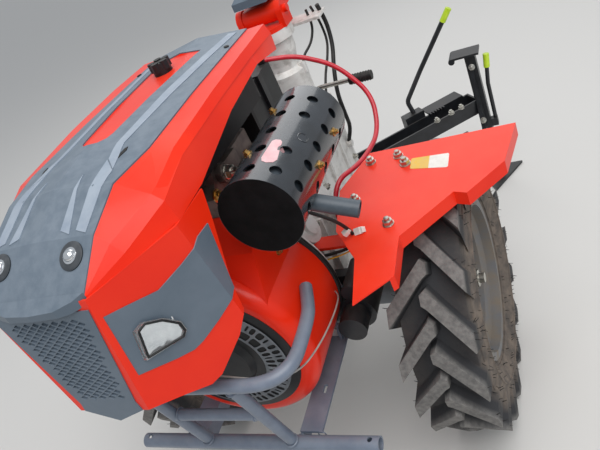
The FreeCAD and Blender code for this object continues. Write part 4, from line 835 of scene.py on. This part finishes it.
def ring_plate(rings, sides, proud_mm, wall_mm, slotted):
    """A dished ring plate about Z; slotted, it loses two of every three cells in its two slot rows."""
    deselect()
    bpy.context.scene.tool_settings.mesh_select_mode = (False, True, False)
    bpy.ops.mesh.primitive_circle_add(vertices=sides, radius=rings[0][0] / 1000,
                                      location=(0, 0, rings[0][1] / 1000))
    plate = bpy.context.object
    bpy.ops.object.transform_apply(location=True, rotation=True, scale=True)
    bpy.ops.object.mode_set(mode="EDIT")
    bpy.ops.mesh.select_all(action="SELECT")
    for (outer, low_rise), (inner, rise) in zip(rings, rings[1:]):
        bpy.ops.mesh.extrude_edges_move(TRANSFORM_OT_translate={"value": (0, 0, (rise - low_rise) / 1000)})
        bpy.ops.transform.resize(value=(inner / outer, inner / outer, 1.0))
    bpy.context.scene.tool_settings.mesh_select_mode = (False, False, True)
    if slotted:
        def in_slot(centre, normal):
            cell = int(math.degrees(math.atan2(centre.y, centre.x)) % 360 / (360 / sides))
            radius = math.hypot(centre.x, centre.y) * 1000
            in_row = rings[2][0] < radius < rings[1][0] or rings[4][0] < radius < rings[3][0]
            return cell % 3 != 0 and in_row
        select_faces(plate, in_slot)
        bpy.ops.mesh.delete(type="FACE")
    bpy.ops.mesh.select_all(action="SELECT")
    bpy.ops.mesh.normals_make_consistent(inside=False)
    bpy.ops.object.mode_set(mode="OBJECT")
    wall = plate.modifiers.new("wall", "SOLIDIFY")
    wall.thickness = wall_mm / 1000
    wall.offset = 0.0
    bpy.ops.object.modifier_apply(modifier=wall.name)
    if slotted:
        rounded = plate.modifiers.new("rounded", "SUBSURF")
        rounded.levels = 1
        bpy.ops.object.modifier_apply(modifier=rounded.name)
    plate.data.transform(Matrix.Translation((0, 0, proud_mm / 1000)))
    return plate


COVER_X = 343         # the recoil cover's outer edge
cover_edge = [(at(COVER_X, 0, CRANK_Z), (1, 0, 0), 1.0)]
# a matt black plate behind the grille: painted shade for the dark inside the slots
grille_shade_plate = ring_plate(GRILLE_RINGS, 72, 0.4, 0.5, False)
fit(copies(grille_shade_plate, cover_edge, keep=False), "fan_grille_painted_shade", "chassis", matt_black)
punched = ring_plate(GRILLE_RINGS, 3 * GRILLE_SLOTS, 1.9, 1.6, True)
fit(copies(punched, cover_edge, keep=False), "fan_grille", "chassis", grille_grey)


# Grips and console
# Ribs round the handlebar and shift grips, and the bare dial and button on the console.

GRIP_RADIUS = 0.0192
deselect()
bpy.ops.mesh.primitive_torus_add(major_segments=32, minor_segments=8, major_radius=GRIP_RADIUS,
                                 minor_radius=0.0016)
rib = bpy.context.object
GRIP_END, GRIP_BACK, RIB_COUNT = Vector((-1262, 290, 964)), Vector((-770, 236, 956)), 11
along = (GRIP_END - GRIP_BACK).normalized()
for side, s in (("left", 1), ("right", -1)):
    ribs = []
    for k in range(RIB_COUNT):
        x, y, z = GRIP_END - along * (10 + 9 * k)
        ribs.append((at(x, s * y, z), (along.x, s * along.y, along.z), 1.0))
    fit(copies(rib, ribs), "grip_ribs_" + side, "handle_set", black_rubber)
shift_ribs = [(at(-240, 178 + 6 * k, 679.8 - 0.11 * k), (0, 1, -0.018), 0.54) for k in range(8)]
fit(copies(rib, shift_ribs, keep=False), "shift_grip_ribs", "chassis", black_rubber)

# a red stop button and a throttle dial on the console, both bare
console = [touch("control_console", at(-420, y, 1000), (0, 0, -1)) for y in (16, -16)]
dial = join([disc(15, 4, lip_mm=1.5), disc(10, 9, 4, 20, 1.5)])
fit(copies(dial, console[:1], keep=False), "console_dial", "handle_set", black_plastic)
stop = disc(11, 8, 0, 24, 3.0)
fit(copies(stop, console[1:], keep=False), "console_button", "handle_set", red_enamel)

# battery clamps
clamp = join([disc(9, 6, 0, 16, 1.2), disc(4.5, 7, 6, 6, 0.8)])
posts = [touch("battery", at(x, 35, 1000), (0, 0, -1)) for x in (-176, -46)]
fit(copies(clamp, posts, keep=False), "battery_clamps", "chassis", zinc)


# Battery cable
# A starter cable in red PVC: soft gloss, slightly paler where it has been handled.

red_sheath, shader = new_finish("red_pvc_sheath", "red_cable", IOR=1.53)
tone = blend(red_sheath, patches(red_sheath, 30), "#C4162A", "#D62A3C")
settle(red_sheath, shader, tone, "#C9827F", 0.3, 12, 0.3, 0.6)
surface(red_sheath, shader, 8, 0.05)
dress(red_sheath, "battery_cable")


# Engine wiring
# A black loom and a yellow wire with their white nylon connector at the fender's inner edge, and the
# pale stop wire that lies along the hoop.

nylon, shader = new_finish("white_nylon", "grey_plastic", IOR=1.53)
tone = blend(nylon, patches(nylon, 10), "#DCDAD2", "#EFEDE8")
settle(nylon, shader, tone, "#B9B2A6", 0.3, 8, 0.4, 0.6)
surface(nylon, shader, 4, 0.03)
yellow_pvc, shader = new_finish("yellow_pvc", "red_cable", IOR=1.53)
tone = blend(yellow_pvc, patches(yellow_pvc, 10), "#E2A11E", "#F0B63A")
settle(yellow_pvc, shader, tone, "#B9A07A", 0.3, 8, 0.35, 0.6)
surface(yellow_pvc, shader, 4, 0.03)
pale_pvc, shader = new_finish("pale_pvc", "grey_plastic", IOR=1.53)
tone = blend(pale_pvc, patches(pale_pvc, 14), "#9A9894", "#B4B1AB")
settle(pale_pvc, shader, tone, "#8F887C", 0.3, 8, 0.35, 0.6)
surface(pale_pvc, shader, 4, 0.03)

shell = join([disc(8.0, 12, 0, 4, 1.2), disc(6.2, 5, 12, 4, 0.8)])
blocks = [(at(190, 250, 600), (0.2, 1, 0.35), 1.0), (at(206, 236, 610), (-0.5, 1, 0.6), 0.75)]
fit(copies(shell, blocks, keep=False), "wire_connector", "chassis", nylon)
LOOM_LINE = [(228, 190, 690), (222, 226, 664), (204, 246, 622), (184, 244, 580), (160, 214, 545),
             (140, 160, 520), (136, 118, 512)]
fit(tube([at(*place) for place in LOOM_LINE], 3.0), "wire_loom", "chassis", black_rubber)
YELLOW_LINE = [(196, 258, 606), (184, 256, 592), (170, 246, 566), (156, 222, 540), (146, 170, 515),
               (140, 118, 505)]
fit(tube([at(*place) for place in YELLOW_LINE], 1.5), "yellow_wire", "chassis", yellow_pvc)
STOP_LINE = [(160, 118, 470), (182, 172, 474), (250, 186, 488), (340, 186, 504), (410, 174, 522),
             (436, 130, 546), (440, 60, 566), (436, -20, 567), (400, -60, 580), (345, -80, 600)]
fit(tube([at(*place) for place in STOP_LINE], 1.5), "stop_wire", "chassis", pale_pvc)

# every nut and screw is in its place, so the two they were copied from go
for master in (nut, screw):
    bpy.data.objects.remove(master)


# Floor, light and camera
# A plain pale floor, a large soft lamp before the machine and a small one behind it under an even sky,
# and the photograph's high three-quarter view.

FLOOR_HALF = 30.0
deselect()
bpy.ops.mesh.primitive_plane_add(size=2 * FLOOR_HALF, location=(0, 0, -0.0005))
floor = bpy.context.object
floor.name = "studio_floor"
pale_floor, shader = new_finish("pale_floor", "steel", Roughness=0.9, Base_Color=linear("#D9D6D1"))
floor.data.materials.append(pale_floor)
floor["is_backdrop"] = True

world = bpy.data.worlds.new("even_sky")
world.use_nodes = True
bpy.context.scene.world = world
sky = world.node_tree.nodes["Background"]
sky.inputs["Color"].default_value = linear("#E4EAF2")
sky.inputs["Strength"].default_value = 0.6


def softbox(name, place, aim, size, watts):
    """A square soft lamp at a place, turned to its aim."""
    bpy.ops.object.light_add(type="AREA", location=place)
    lamp = bpy.context.object
    lamp.name = name
    lamp.data.size = size
    lamp.data.energy = watts
    lamp.rotation_euler = (Vector(aim) - lamp.location).to_track_quat("-Z", "Y").to_euler()


softbox("key_softbox", (1.6, 1.4, 3.6), (0.3, 0.0, 0.5), 3.0, 104)
softbox("rear_softbox", (-2.35, -0.2, 2.8), (0.3, 0.0, 0.8), 2.4, 28)

# the camera's heading, dip and roll, and its place and lens
HEADING, DIP, ROLL = math.radians(-149.0), math.radians(31.3), math.radians(26.6)
EYE, SENSOR_MM, LENS_MM = at(909.8, 593.9, 1142.0), 36.0, 35.65
ahead = Vector((math.cos(HEADING) * math.cos(DIP), math.sin(HEADING) * math.cos(DIP), -math.sin(DIP)))
level = Vector((math.sin(HEADING), -math.cos(HEADING), 0))
below = ahead.cross(level)
across = level * math.cos(ROLL) + below * math.sin(ROLL)
down = below * math.cos(ROLL) - level * math.sin(ROLL)
view = Matrix((across, -down, -ahead)).transposed().to_4x4()
view.translation = EYE
bpy.ops.object.camera_add()
camera = bpy.context.object
camera.matrix_world = view
camera.data.sensor_width = SENSOR_MM
camera.data.lens = LENS_MM
bpy.context.scene.camera = camera

bpy.context.scene.view_settings.view_transform = "Standard"

low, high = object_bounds()
